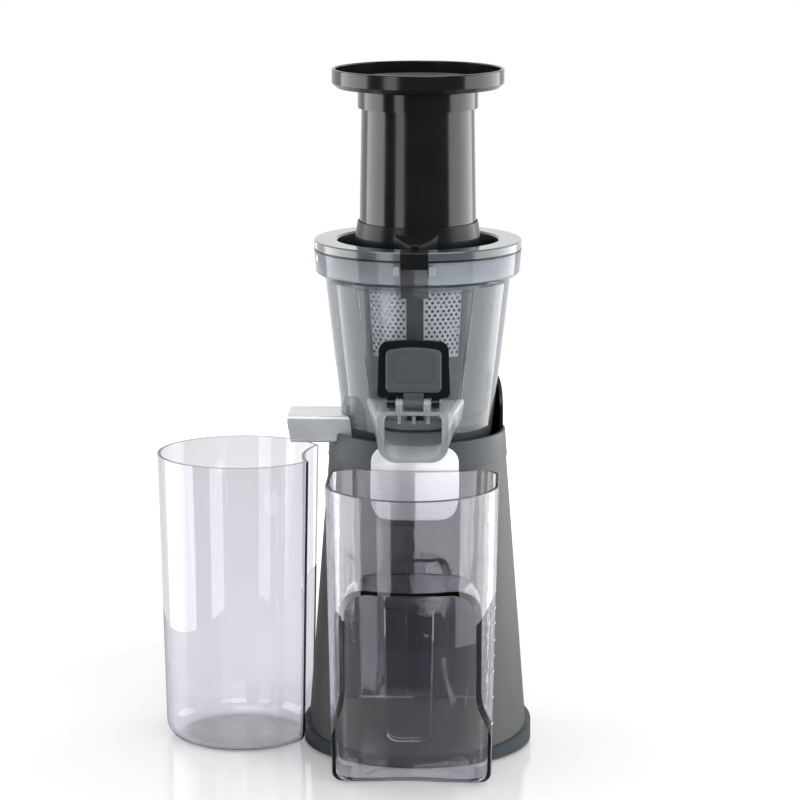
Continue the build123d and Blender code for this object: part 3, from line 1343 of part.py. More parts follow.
with BuildPart() as lid_ring:
    add(ring_solid([(lid_r, lid_base_z), (lid_r, lid_top_z - lid_edge), (lid_r - lid_edge, lid_top_z),
                    (lid_opening_r + lid_chamfer, lid_top_z), (lid_opening_r, lid_wall_top_z + touch),
                    (lid_opening_r + lid_t + touch, lid_wall_top_z + touch),
                    (lid_opening_r + lid_t + touch, lid_top_z - lid_ring_t),
                    (lid_r - lid_ring_t, lid_top_z - lid_ring_t), (lid_r - lid_ring_t, lid_base_z)]))
    add(front_sector([(lid_opening_r - 1, lid_base_z - 1), (lid_r + 1, lid_base_z - 1),
                      (lid_r + 1, lid_top_z + 1), (lid_opening_r - 1, lid_top_z + 1)],
                     latch_w + 2 * fit_gap), mode=Mode.SUBTRACT)
save(lid_ring.part, "lid_ring", slate)

tube_slope = (tube_low_r - tube_top_r) / (tube_top_z - lid_recess_z)
with BuildPart() as feed_tube:
    add(ring_solid([(tube_low_r, tube_bottom_z), (tube_low_r, lid_recess_z), (tube_top_r, tube_top_z),
                    (tube_top_r - tube_t, tube_top_z), (tube_low_r - tube_t, lid_recess_z),
                    (tube_low_r - tube_t, tube_bottom_z)]))
    with BuildSketch(Plane.XY.offset(recess_low_z - 2)):
        Circle(tube_low_r + 3)
        Circle(tube_low_r - 0.5, mode=Mode.SUBTRACT)
    extrude(amount=2)
save(feed_tube.part, "feed_tube", black)

tray_seat_z = tube_top_z + move_gap
tray_low_z = tube_top_z + tray_rise
tray_rim_z = tray_low_z + tray_h
tray_collar_bottom_z = tube_top_z - tray_collar_h
tray_bore_r = tube_top_r + tube_slope * (tube_top_z - tray_collar_bottom_z) + move_gap
tray_hole_r = tube_top_r - tube_t
with BuildPart() as feed_tray:
    add(ring_solid([(tray_bore_r, tray_collar_bottom_z), (tray_collar_r, tray_collar_bottom_z),
                    (tray_collar_r, tray_seat_z + 0.4), (tray_bore_r + 0.6, tray_seat_z + 1.4),
                    (tray_bore_r + 0.6, tray_low_z), (tray_r - 3, tray_low_z), (tray_r, tray_low_z + 3),
                    (tray_r, tray_rim_z), (tray_r - tray_t, tray_rim_z), (tray_r - tray_t, tray_low_z + 4.2),
                    (tray_r - tray_t - 2, tray_low_z + tray_t), (tray_hole_r, tray_low_z + 1),
                    (tray_hole_r, tray_seat_z), (tray_bore_r, tray_seat_z)]))
    fillet(feed_tray.edges().filter_by(GeomType.CIRCLE).group_by(Axis.Z)[-1], rim_round)
save(feed_tray.part, "feed_tray", black)

# ---- juice jug --------------------------------------------------------------------------------------------


def jug_plan(inset, z, half_w, back_mid_y, back_end_y, front_y):
    """Plan of the jug at height z: hollow back, straight sides, round front."""
    half = half_w - inset
    with BuildSketch(Plane.XY.offset(z)) as plan:
        with BuildLine():
            back = ThreePointArc((-half, back_end_y - inset), (0, back_mid_y - inset),
                                 (half, back_end_y - inset))
            right = Line(back @ 1, (half, jug_side_y))
            front = ThreePointArc(right @ 1, (0, front_y + inset), (-half, jug_side_y))
            Line(front @ 1, back @ 0)
        make_face()
        fillet(plan.vertices().group_by(Axis.Y)[-1], jug_corner_r - inset)
    return plan.sketch


def jug_solid(inset):
    """Jug filled to the brim, every wall moved inwards by inset."""
    low_back_y = -(ring_r + jug_low_clear)
    top_back_y = -(cone_r(jug_rim_z) + jug_clear)
    foot_front_y = scoop_y - (jug_w_low / 2) ** 2 / (2 * scoop_r)
    foot_r = jug_foot_r - inset
    with BuildPart() as body:
        add(jug_plan(inset, inset, jug_w_low / 2, low_back_y, low_back_y + jug_low_sag, jug_front_y + 4))
        add(jug_plan(inset, jug_rim_z, jug_w_top / 2, top_back_y, top_back_y + jug_top_sag, jug_front_y))
        loft()
        # the foot is rounded in the front view and in the side view
        with BuildSketch(Plane.XZ):
            with BuildLine():
                side = FilletPolyline((0, inset), (jug_w_low / 2 - inset, inset),
                                      (jug_w_top / 2 - inset + jug_flank_clear, jug_rim_z), radius=foot_r)
                Line(side @ 1, (0, jug_rim_z))
                mirror(about=Plane.YZ)
            make_face()
        extrude(amount=-jug_front_y + 5, mode=Mode.INTERSECT)
        with BuildSketch(Plane.YZ):
            with BuildLine():
                foot = FilletPolyline((low_back_y + jug_low_sag + 8, jug_rim_z / 2),
                                      (low_back_y + jug_low_sag - inset, inset),
                                      (foot_front_y + inset, inset),
                                      (foot_front_y + inset, scoop_flare_z / 2), radius=foot_r)
                Polyline(foot @ 1, (jug_front_y - 5, scoop_flare_z / 2 + 15), (jug_front_y - 5, jug_rim_z),
                         (0, jug_rim_z), foot @ 0)
            make_face()
        extrude(amount=jug_w_top, both=True, mode=Mode.INTERSECT)
        add(scoop_solid(inset), mode=Mode.SUBTRACT)
    return body.part


def scoop_solid(inset):
    """Room for the hand under the jug's front bulge."""
    half = scoop_w / 2 + inset
    with BuildPart() as scoop:
        with BuildSketch(Plane.XZ.offset(-scoop_y - 20)):
            with BuildLine():
                FilletPolyline((0, scoop_top_z + inset), (half, scoop_top_z + inset), (half, scoop_flare_z),
                               (jug_w_top / 2 + scoop_flare_w, -1), radius=[scoop_corner_r, scoop_flare_r])
                Line((jug_w_top / 2 + scoop_flare_w, -1), (0, -1))
                mirror(about=Plane.YZ)
            make_face()
        extrude(amount=90)
        with BuildSketch(Plane((0, scoop_y - scoop_r, -2))):
            Circle(scoop_r + inset)
        extrude(amount=scoop_top_z + 20, mode=Mode.INTERSECT)
    return scoop.part


with BuildPart() as grip:
    with BuildSketch(Plane.XZ.offset(-grip_front_y - grip_t)):
        with BuildLine():
            edge = FilletPolyline((0, grip_bottom_z), (grip_w_low / 2, grip_bottom_z),
                                  (grip_w_top / 2, scoop_top_z + 1), radius=grip_corner_r)
            Line(edge @ 1, (0, scoop_top_z + 1))
            mirror(about=Plane.YZ)
        make_face()
    extrude(amount=grip_t)
    chamfer(grip.faces().sort_by(Axis.Y)[0].edges(), 1.0)
    with BuildSketch(Plane.XZ.offset(-grip_front_y)):
        with Locations((0, grip_groove_low_z + grip_groove_h / 2)):
            Rectangle(grip_w_top * 2, grip_groove_h)
    extrude(amount=-grip_groove_depth, mode=Mode.SUBTRACT)

with BuildPart() as juice_jug:
    add(jug_solid(0))
    add(grip.part)
    add(jug_solid(jug_t), mode=Mode.SUBTRACT)
    fillet(juice_jug.edges().group_by(Axis.Z)[-1], rim_round)
save(juice_jug.part, "juice_jug", clear)

# ---- pulp container ---------------------------------------------------------------------------------------


def tub_solid(inset):
    """Pulp container filled to the brim, every wall moved inwards by inset."""
    low_z = inset
    with BuildPart() as body:
        with BuildSketch(Plane((tub_x, tub_y, low_z))):
            Circle(tub_low_r - inset)
        with BuildSketch(Plane((tub_x, tub_y, tub_rim_z))):
            Circle(tub_rim_r - inset)
        loft()
        fillet(body.edges().group_by(Axis.Z)[0], tub_foot_r - inset)
        add(ring_solid([(0, -1), (ring_r + tub_notch_clear + inset, -1),
                        (tub_notch_top_r + inset, tub_rim_z + 1), (0, tub_rim_z + 1)]), mode=Mode.SUBTRACT)
    return body.part


with BuildPart() as pulp_container:
    add(tub_solid(0))
    add(tub_solid(tub_t), mode=Mode.SUBTRACT)
save(pulp_container.part, "pulp_container", clear)
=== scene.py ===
"""Looks of the cold press juicer: materials, perforated strainer, small details, studio light and camera."""
from math import atan, atan2, cos, pi, radians, sin, sqrt

import bmesh
import bpy
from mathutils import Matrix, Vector
from mathutils.bvhtree import BVHTree


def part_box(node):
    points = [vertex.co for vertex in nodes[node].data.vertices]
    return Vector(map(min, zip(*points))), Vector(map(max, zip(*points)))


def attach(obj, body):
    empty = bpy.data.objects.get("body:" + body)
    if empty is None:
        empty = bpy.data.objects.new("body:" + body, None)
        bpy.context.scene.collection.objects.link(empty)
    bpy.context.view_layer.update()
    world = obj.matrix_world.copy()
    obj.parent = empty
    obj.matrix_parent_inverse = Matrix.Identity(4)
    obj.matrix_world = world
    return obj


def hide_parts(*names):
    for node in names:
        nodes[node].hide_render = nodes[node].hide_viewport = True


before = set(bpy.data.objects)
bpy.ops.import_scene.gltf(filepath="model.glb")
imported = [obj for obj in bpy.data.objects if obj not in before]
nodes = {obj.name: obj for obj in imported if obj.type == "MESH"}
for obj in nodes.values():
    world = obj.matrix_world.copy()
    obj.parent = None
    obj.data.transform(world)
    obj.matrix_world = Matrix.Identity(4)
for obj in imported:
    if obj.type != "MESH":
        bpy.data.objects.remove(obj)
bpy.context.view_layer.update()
MM = 0.001

# ---- camera: height, distance and tilt solved from the rims' ellipses ---------------------------------
IMAGE = 800.0
SENSOR_MM = 36.0
FOCAL_PX = 3475.0
CAM_DISTANCE = 2.2207
CAM_HEIGHT = 0.6473
CAM_PITCH = radians(10.7)
CAM_AZIMUTH = radians(2.0)
AXIS_PX = 418.0                    # image column of the juicer's axis

camera_data = bpy.data.cameras.new("camera")
camera = bpy.data.objects.new("camera", camera_data)
bpy.context.collection.objects.link(camera)
bpy.context.scene.camera = camera
camera_data.sensor_width = SENSOR_MM
camera_data.lens = FOCAL_PX / IMAGE * SENSOR_MM
camera_data.clip_end = 50.0
camera.location = (CAM_DISTANCE * sin(CAM_AZIMUTH), -CAM_DISTANCE * cos(CAM_AZIMUTH), CAM_HEIGHT)
camera_yaw = CAM_AZIMUTH + atan((AXIS_PX - IMAGE / 2) / FOCAL_PX)
camera.rotation_euler = (pi / 2 - CAM_PITCH, 0.0, camera_yaw)

# ---- materials ----------------------------------------------------------------------------------------
NOISE_LOW, NOISE_HIGH = 0.3, 0.7   # most of a noise texture's values lie between these
PATCH_SCALE = 35.0                 # soft patches of moulded plastic, per metre
PATCH_GLOSS = (0.85, 1.15)         # shares that they vary its roughness between
PATCH_TONE = (0.92, 1.08)          # and its colour
LINE_GLOSS = (0.8, 1.2)            # the same for the lines of brushed metal
WAVE_SCALE = 60.0                  # faint waves of clear plastic, per metre
WAVE_GLOSS = (0.7, 1.3)
WAVE_HEIGHT, WAVE_STRENGTH = 2e-5, 0.25


def node_of(tree, kind, **inputs):
    """New shader node with some of its inputs set."""
    node = tree.nodes.new(kind)
    for key, value in inputs.items():
        node.inputs[key.replace("_", " ")].default_value = value
    return node


def base_material(name, colour, rough, metal=0.0, **sockets):
    """Principled material; returns it with its tree and shader node."""
    mat = bpy.data.materials.new(name)
    mat.use_nodes = True
    tree = mat.node_tree
    shader = tree.nodes["Principled BSDF"]
    shader.inputs["Base Color"].default_value = (*colour, 1.0)
    shader.inputs["Roughness"].default_value = rough
    shader.inputs["Metallic"].default_value = metal
    for key, value in sockets.items():
        shader.inputs[key.replace("_", " ")].default_value = value
    return mat, tree, shader


def object_coords(tree, stretch=(1, 1, 1)):
    """Object coordinates, scaled along each axis."""
    coords = tree.nodes.new("ShaderNodeTexCoord")
    mapping = tree.nodes.new("ShaderNodeMapping")
    mapping.inputs["Scale"].default_value = stretch
    tree.links.new(coords.outputs["Object"], mapping.inputs["Vector"])
    return mapping.outputs["Vector"]


def noise(tree, vector, scale, detail=3.0):
    """Noise texture's value output."""
    node = node_of(tree, "ShaderNodeTexNoise", Scale=scale, Detail=detail)
    tree.links.new(vector, node.inputs["Vector"])
    return node.outputs["Fac"]


def spread(tree, value, from_low, from_high, low, high):
    """Value mapped from one range to another, and held at its ends."""
    node = node_of(tree, "ShaderNodeMapRange", From_Min=from_low, From_Max=from_high, To_Min=low, To_Max=high)
    tree.links.new(value, node.inputs["Value"])
    return node.outputs["Result"]


def remap(tree, value, low, high):
    """Noise mapped to low..high."""
    return spread(tree, value, NOISE_LOW, NOISE_HIGH, low, high)


def math_node(tree, operation, *values):
    """Value of a math node whose inputs are sockets or numbers."""
    node = tree.nodes.new("ShaderNodeMath")
    node.operation = operation
    for socket, value in zip(node.inputs, values):
        if isinstance(value, bpy.types.NodeSocket):
            tree.links.new(value, socket)
        else:
            socket.default_value = value
    return node.outputs["Value"]


def mix_shader(tree, share, first, second):
    """Mix of two shaders by the share of the second."""
    node = tree.nodes.new("ShaderNodeMixShader")
    for socket, value in zip(node.inputs, (share, first, second)):
        tree.links.new(value, socket)
    return node.outputs["Shader"]


def bump(tree, shader, value, height, strength=1.0):
    """Bump of a height in metres."""
    node = node_of(tree, "ShaderNodeBump", Strength=strength, Distance=height)
    tree.links.new(value, node.inputs["Height"])
    tree.links.new(node.outputs["Normal"], shader.inputs["Normal"])
    return node


def tint(tree, shader, value, dark, light):
    """Base colour that varies a little between two colours."""
    ramp = tree.nodes.new("ShaderNodeValToRGB")
    ramp.color_ramp.elements[0].position = NOISE_LOW
    ramp.color_ramp.elements[0].color = (*dark, 1.0)
    ramp.color_ramp.elements[1].position = NOISE_HIGH
    ramp.color_ramp.elements[1].color = (*light, 1.0)
    tree.links.new(value, ramp.inputs["Fac"])
    tree.links.new(ramp.outputs["Color"], shader.inputs["Base Color"])


def vary_gloss(tree, shader, value, rough, swing):
    """Roughness that varies with a noise between two shares of its mean."""
    tree.links.new(remap(tree, value, rough * swing[0], rough * swing[1]), shader.inputs["Roughness"])


def shade(colour, factor):
    """Colour times a factor."""
    return tuple(channel * factor for channel in colour)


def moulded(name, colour, rough, grain_mm=0.5, grain_height=4e-6, **sockets):
    """Moulded plastic or rubber: fine grain, soft patches in gloss and tone."""
    mat, tree, shader = base_material(name, colour, rough, **sockets)
    vector = object_coords(tree)
    patches = noise(tree, vector, PATCH_SCALE)
    grain = noise(tree, vector, 1.0 / (grain_mm * MM), 2.0)
    vary_gloss(tree, shader, patches, rough, PATCH_GLOSS)
    tint(tree, shader, patches, shade(colour, PATCH_TONE[0]), shade(colour, PATCH_TONE[1]))
    bump(tree, shader, grain, grain_height)
    return mat


def brushed(name, colour, rough, metal, stretch, line_height=3e-6, contrast=0.06, **sockets):
    """Metal or metal-like finish with fine parallel lines across the stretched axis."""
    mat, tree, shader = base_material(name, colour, rough, metal, **sockets)
    vector = object_coords(tree, stretch)
    lines = noise(tree, vector, 1.0, 4.0)
    vary_gloss(tree, shader, lines, rough, LINE_GLOSS)
    tint(tree, shader, lines, shade(colour, 1 - contrast), shade(colour, 1 + contrast))
    bump(tree, shader, lines, line_height)
    return mat


def clear(name, rough, absorb, density, ior=1.5, body=(1.0, 1.0, 1.0), haze=0.0):
    """Clear moulded plastic, tinted by its thickness, with faint unevenness and perhaps a milky share."""
    mat, tree, shader = base_material(name, body, rough, Transmission_Weight=1.0 - haze, IOR=ior)
    waves = noise(tree, object_coords(tree), WAVE_SCALE, 1.0)
    vary_gloss(tree, shader, waves, rough, WAVE_GLOSS)
    bump(tree, shader, waves, WAVE_HEIGHT, WAVE_STRENGTH)
    volume = node_of(tree, "ShaderNodeVolumeAbsorption", Color=(*absorb, 1.0), Density=density)
    tree.links.new(volume.outputs["Volume"], tree.nodes["Material Output"].inputs["Volume"])
    return mat


BLACK = (0.0050, 0.0058, 0.0066)
SLATE = (0.075, 0.088, 0.100)
COLLAR = (0.036, 0.043, 0.050)
SILVER_PAINT = (0.084, 0.084, 0.083)
SMOKE = (0.16, 0.22, 0.28)         # the colour that thick smoke plastic tends to
black_satin = moulded("black_satin", BLACK, 0.16, grain_height=1e-6)
black_lid = moulded("black_lid", BLACK, 0.28, grain_height=1e-6, Specular_IOR_Level=0.25)
black_matt = moulded("black_matt", (0.010, 0.011, 0.012), 0.45)
slate_satin = moulded("slate_satin", COLLAR, 0.45, grain_height=2e-6, Specular_IOR_Level=0.35)
slate_gloss = moulded("slate_gloss", shade(SLATE, 0.65), 0.25, grain_height=1e-6,
                      Coat_Weight=1.0, Coat_Roughness=0.12)
housing_silver = brushed("housing_silver", SILVER_PAINT, 0.55, 0.0, (900.0, 900.0, 1400.0), 4e-7, 0.03,
                         Specular_IOR_Level=0.2)
panel_silver = brushed("panel_silver", (0.70, 0.71, 0.72), 0.24, 0.15, (40.0, 40.0, 900.0), 0.0, 0.004)
duct_silver = moulded("duct_silver", (0.64, 0.66, 0.68), 0.22, grain_height=1e-6, Metallic=0.5)
steel_sheet = brushed("steel_sheet", (0.97, 0.975, 0.98), 0.45, 0.0, (1500.0, 1500.0, 60.0), 0.0, 0.01)
frame_steel = moulded("frame_steel", (0.62, 0.635, 0.66), 0.40, grain_height=1e-6)
cage_grey = moulded("cage_grey", (0.19, 0.20, 0.21), 0.40, grain_height=1e-6)
ground_steel = brushed("ground_steel", (0.62, 0.63, 0.65), 0.25, 1.0, (60.0, 60.0, 2000.0))
cast_alloy = moulded("cast_alloy", (0.45, 0.46, 0.47), 0.5, 1.2, 3e-5, Metallic=0.8)
motor_steel = moulded("motor_steel", (0.34, 0.34, 0.36), 0.4, 0.4, 5e-6, Metallic=0.9)
rubber_grey = moulded("rubber_grey", (0.045, 0.052, 0.060), 0.5, 0.3, 5e-6)
rubber_black = moulded("rubber_black", (0.020, 0.021, 0.022), 0.65, 0.3, 1e-5)
copper_wire = brushed("copper_wire", (0.62, 0.30, 0.14), 0.35, 0.9, (50.0, 50.0, 1400.0), 8e-5, 0.15)
board_green = moulded("board_green", (0.03, 0.16, 0.07), 0.35)
gear_white = moulded("gear_white", (0.72, 0.71, 0.66), 0.42)
auger_grey = moulded("auger_grey", (0.16, 0.165, 0.175), 0.3)
mark_white = moulded("mark_white", (0.85, 0.86, 0.87), 0.5)
bowl_smoke = clear("bowl_smoke", 0.05, SMOKE, 150.0, 1.35, (0.80, 0.82, 0.84), 0.04)
spout_smoke = clear("spout_smoke", 0.08, SMOKE, 22.0, 1.3, (0.55, 0.58, 0.60), 0.30)
jug_clear = clear("jug_clear", 0.012, (0.38, 0.34, 0.50), 100.0)

NODE_MATERIALS = {
    "base_ring": slate_satin, "collar_trim": slate_satin, "lid_ring": slate_gloss,
    "bottom_plate": black_matt, "board_rails": black_matt, "cooling_fan": black_matt,
    "rear_guard": black_satin, "drive_deck": black_satin, "outlet_connector": black_satin,
    "switch_frame": black_satin, "switch_rocker": black_satin, "strainer_ribs": black_satin,
    "flap_cover": black_satin, "feed_tube": black_satin, "feed_tray": black_satin, "lid_cover": black_lid,
    "housing_shell": housing_silver, "front_panel": panel_silver, "pulp_duct": duct_silver,
    "bowl_shell": bowl_smoke, "bowl_floor": bowl_smoke, "juice_spout": spout_smoke,
    "juice_jug": jug_clear, "pulp_container": jug_clear,
    "auger": auger_grey, "output_gear": gear_white, "flap_pad": rubber_grey, "flap_tongue": rubber_grey,
    "rubber_feet": rubber_black, "shaft_seal": rubber_black, "motor_dampers": rubber_black,
    "cord_gland": rubber_black, "hub_seal": rubber_black,
    "drive_shaft": ground_steel, "idler_pin": ground_steel, "flap_pin": ground_steel,
    "motor_shaft": ground_steel, "idler_gear": ground_steel, "deck_bearing": ground_steel,
    "cover_bearing": ground_steel, "motor_bearings": ground_steel, "strainer_sleeve": steel_sheet,
    "strainer_frame": frame_steel, "strainer_foot": cage_grey,
    "motor_can": motor_steel, "stator_stack": motor_steel, "rotor_core": motor_steel,
    "gearbox_case": cast_alloy, "gearbox_cover": cast_alloy, "motor_frame": cast_alloy,
    "stator_coils": copper_wire, "control_board": board_green,
}
for node_name, node_object in nodes.items():
    for material_slot in node_object.material_slots:
        material_slot.material = NODE_MATERIALS[node_name]

# ---- small pieces -------------------------------------------------------------------------------------
SMOOTH_DEG = 35.0                  # edges sharper than this stay sharp


def new_piece(name, bm, mat, body):
    """Mesh object from a bmesh, with its material, riding on a CAD body."""
    bmesh.ops.recalc_face_normals(bm, faces=bm.faces)
    mesh = bpy.data.meshes.new(name)
    bm.to_mesh(mesh)
    bm.free()
    mesh.materials.append(mat)
    mesh.shade_smooth()
    mesh.set_sharp_from_angle(angle=radians(SMOOTH_DEG))
    piece = bpy.data.objects.new(name, mesh)
    bpy.context.collection.objects.link(piece)
    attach(piece, body)
    return piece


# strainer: a perforated sheet behind a cage with two windows between each pair of ribs
SHEET_T = 0.5 * MM
HOLE_R = 1.0 * MM
HOLE_COLUMNS = 84
ROW_PITCH = 2.74 * MM
QUARTERS = 4 * HOLE_COLUMNS        # lattice steps round the cone, four to a cell
HOLE_SIDES = 12
PLAIN_FOOT = 7.0 * MM              # least height of the sheet below its lowest row
CONE_MEAN = 0.95                   # the cone's mean radius about the windows, as a share of its top
RIB_COUNT = 3
RIB_TURN = 360.0 / RIB_COUNT
PANEL_TURNS = (6.4, 36.0, 84.0, 113.6)          # degrees from each rib: window, plain, window
WINDOW_LOW_Z = 263.5 * MM
WINDOW_TOP_Z = 309.3 * MM
HOLE_MARGIN = 1.3 * MM             # least distance of a hole's middle from the window's edge
CAGE_T = 0.9 * MM
CAGE_GAP = 0.15 * MM
CAGE_STEPS = (10, 16, 10)          # faces across each window and the plain strip between
FRONT_DEG = -90.0
SLEEVE_LOW_R = 41.3 * MM           # outer radius at the sleeve's foot
sleeve_low, sleeve_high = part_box("strainer_sleeve")
sleeve_z0, sleeve_z1 = sleeve_low.z, sleeve_high.z
sleeve_top_r = sleeve_high.x
holes_low_z = sleeve_z0 + PLAIN_FOOT
holes_top_z = WINDOW_TOP_Z - HOLE_MARGIN + HOLE_R
hole_rows = int((holes_top_z - holes_low_z) / ROW_PITCH)


def sleeve_radius(z):
    """Outer radius of the sleeve's cone."""
    share = (z - sleeve_z0) / (sleeve_z1 - sleeve_z0)
    return SLEEVE_LOW_R + share * (sleeve_top_r - SLEEVE_LOW_R)


def around(radius, turn_deg, z):
    """Point at an angle from the front."""
    angle = radians(FRONT_DEG + turn_deg)
    return radius * cos(angle), radius * sin(angle), z


def in_window(turn_deg, z, margin):
    """Whether a point of the cone lies in a window, some way from its edges."""
    margin_deg = margin / sleeve_radius(z) * 180.0 / pi
    turn = turn_deg % RIB_TURN
    near, far = PANEL_TURNS[:2], PANEL_TURNS[2:]
    across = any(low + margin_deg <= turn <= high - margin_deg for low, high in (near, far))
    return across and WINDOW_LOW_Z + margin <= z <= WINDOW_TOP_Z - margin


def perforated_sheet():
    """Brick cells on the cone; those in the windows have a round hole each."""
    bm = bmesh.new()
    lattice = {}

    def sheet_point(turn, z, depth):
        return around(sleeve_radius(z) - depth, 360.0 * turn / QUARTERS, z)

    def corner(turn, half_row, depth):
        key = (turn % QUARTERS, half_row, depth)
        if key not in lattice:
            z = holes_top_z - (2 * hole_rows - half_row) * ROW_PITCH / 2
            if half_row < 0:
                z = sleeve_z0
            if half_row > 2 * hole_rows:
                z = sleeve_z1
            lattice[key] = bm.verts.new(sheet_point(turn, z, depth))
        return lattice[key]

    outline = [(0, 0), (1, 0), (2, 0), (3, 0), (4, 0), (4, 1), (4, 2), (3, 2), (2, 2), (1, 2), (0, 2), (0, 1)]
    step = 2 * pi * sleeve_top_r / QUARTERS * CONE_MEAN
    for row in range(hole_rows):
        middle_z = holes_top_z - (hole_rows - row - 0.5) * ROW_PITCH
        for column in range(HOLE_COLUMNS):
            start = 4 * column + 2 * (row % 2)
            cells = [[corner(start + u, 2 * row + v, depth) for u, v in outline] for depth in (0.0, SHEET_T)]
            if not in_window(360.0 * (start + 2) / QUARTERS, middle_z, HOLE_MARGIN):
                for cell in cells:
                    bm.faces.new(cell)
                continue
            loops = []
            for depth, cell in zip((0.0, SHEET_T), cells):
                ring = []
                for step_u, step_v in outline:
                    angle = atan2((step_v - 1) * ROW_PITCH / 2, (step_u - 2) * step)
                    ring.append(bm.verts.new(sheet_point(start + 2 + HOLE_R / step * cos(angle),
                                                         middle_z + HOLE_R * sin(angle), depth)))
                for k in range(HOLE_SIDES):
                    n = (k + 1) % HOLE_SIDES
                    bm.faces.new((cell[k], cell[n], ring[n], ring[k]))
                loops.append(ring)
            for k in range(HOLE_SIDES):
                n = (k + 1) % HOLE_SIDES
                bm.faces.new((loops[0][k], loops[0][n], loops[1][n], loops[1][k]))
    for turn in range(QUARTERS):
        for depth in (0.0, SHEET_T):
            for low, high in ((-1, 0), (2 * hole_rows, 2 * hole_rows + 1)):
                bm.faces.new((corner(turn, low, depth), corner(turn + 1, low, depth),
                              corner(turn + 1, high, depth), corner(turn, high, depth)))
        for end in (-1, 2 * hole_rows + 1):
            bm.faces.new((corner(turn, end, 0.0), corner(turn + 1, end, 0.0),
                          corner(turn + 1, end, SHEET_T), corner(turn, end, SHEET_T)))
    return bm


def strainer_cage(rib):
    """Panel between two ribs, outside the sheet, with its two windows."""
    bm = bmesh.new()
    foot_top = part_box("strainer_foot")[1].z + CAGE_GAP
    flange_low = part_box("strainer_frame")[0].z - CAGE_GAP
    heights = (foot_top, WINDOW_LOW_Z, WINDOW_TOP_Z, flange_low)
    turns = [PANEL_TURNS[0]]
    windows = []
    for span, count in enumerate(CAGE_STEPS):
        low, high = PANEL_TURNS[span:span + 2]
        turns += [low + (high - low) * (k + 1) / count for k in range(count)]
        windows += [span != 1] * count
    steps = len(windows)
    points = {}
    for column, turn in enumerate(turns):
        for row, z in enumerate(heights):
            for side, offset in enumerate((CAGE_GAP, CAGE_GAP + CAGE_T)):
                place = around(sleeve_radius(z) + offset, RIB_TURN * rib + turn, z)
                points[column, row, side] = bm.verts.new(place)

    def solid(column, row):
        inside = 0 <= column < steps and 0 <= row < len(heights) - 1
        return inside and not (row == 1 and windows[column])

    for column in range(steps):
        for row in range(len(heights) - 1):
            if not solid(column, row):
                continue
            ring = ((column, row), (column + 1, row), (column + 1, row + 1), (column, row + 1))
            for side in (0, 1):
                bm.faces.new([points[(*place, side)] for place in ring])
            beside = ((column, row - 1), (column + 1, row), (column, row + 1), (column - 1, row))
            for k, other in enumerate(beside):
                if not solid(*other):
                    start, end = ring[k], ring[(k + 1) % 4]
                    edge = ((*start, 0), (*end, 0), (*end, 1), (*start, 1))
                    bm.faces.new([points[place] for place in edge])
    return bm


sleeve = new_piece("perforated_sleeve", perforated_sheet(), steel_sheet, "bowl")
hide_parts("strainer_sleeve")
for rib_number in range(RIB_COUNT):
    cage = new_piece("strainer_cage_%d" % (rib_number + 1), strainer_cage(rib_number), cage_grey, "bowl")

# ---- white marks and screws ---------------------------------------------------------------------------
BAR_T = 0.05 * MM
BAR_REACH = 30.0 * MM            # how far outside a face the casting rays start
node_trees = {}


def surface_of(node_name):
    """Ray-cast tree of a CAD node's mesh."""
    if node_name not in node_trees:
        shape = bmesh.new()
        shape.from_mesh(nodes[node_name].data)
        node_trees[node_name] = BVHTree.FromBMesh(shape)
        shape.free()
    return node_trees[node_name]


def laid_bar(bm, node_name, middle, right, up, width, height, steps=4):
    """Thin bar laid on a node's face, seen along right x up from outside."""
    aim = up.cross(right).normalized()
    tree = surface_of(node_name)
    rows = []
    for row in (-0.5, 0.5):
        line = []
        for step in range(steps + 1):
            start = middle + right * width * (step / steps - 0.5) + up * height * row - aim * BAR_REACH
            hit, normal, _, _ = tree.ray_cast(start, aim)
            line.append([bm.verts.new(hit + normal * lift) for lift in (BAR_T, -BAR_T)])
        rows.append(line)
    for step in range(steps):
        a, b, c, d = rows[0][step], rows[0][step + 1], rows[1][step + 1], rows[1][step]
        for side in (0, 1):
            bm.faces.new((a[side], b[side], c[side], d[side]))
        bm.faces.new((a[0], b[0], b[1], a[1]))
        bm.faces.new((d[0], c[0], c[1], d[1]))
    for end in (0, steps):
        a, d = rows[0][end], rows[1][end]
        bm.faces.new((a[0], d[0], d[1], a[1]))


UP = Vector((0.0, 0.0, 1.0))
MARK_TURN_DEG = -74.0
MARK_W = 3.0 * MM
MARK_H = 3.6 * MM
MARK_DROP = 4.0 * MM               # from the bowl's rim to the middle of its mark
mark_angle = radians(FRONT_DEG + MARK_TURN_DEG)
mark_side = Vector((-sin(mark_angle), cos(mark_angle), 0.0))


def white_tick(name, node_name, body, z, radius):
    """Short upright white bar on a face near its left edge."""
    bm = bmesh.new()
    middle = Vector((radius * cos(mark_angle), radius * sin(mark_angle), z))
    laid_bar(bm, node_name, middle, mark_side, UP, MARK_W, MARK_H, 2)
    mark = new_piece(name, bm, mark_white, body)


band_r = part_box("bowl_shell")[1].x
bowl_rim_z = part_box("bowl_shell")[1].z
lid_ring_low, lid_ring_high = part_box("lid_ring")
# one white bar on the lid ring and one on the bowl's band, near the left edge and in line
white_tick("lid_mark", "lid_ring", "lid", (lid_ring_low.z + lid_ring_high.z) / 2, band_r)
white_tick("bowl_mark", "bowl_shell", "bowl", bowl_rim_z - MARK_DROP, band_r)

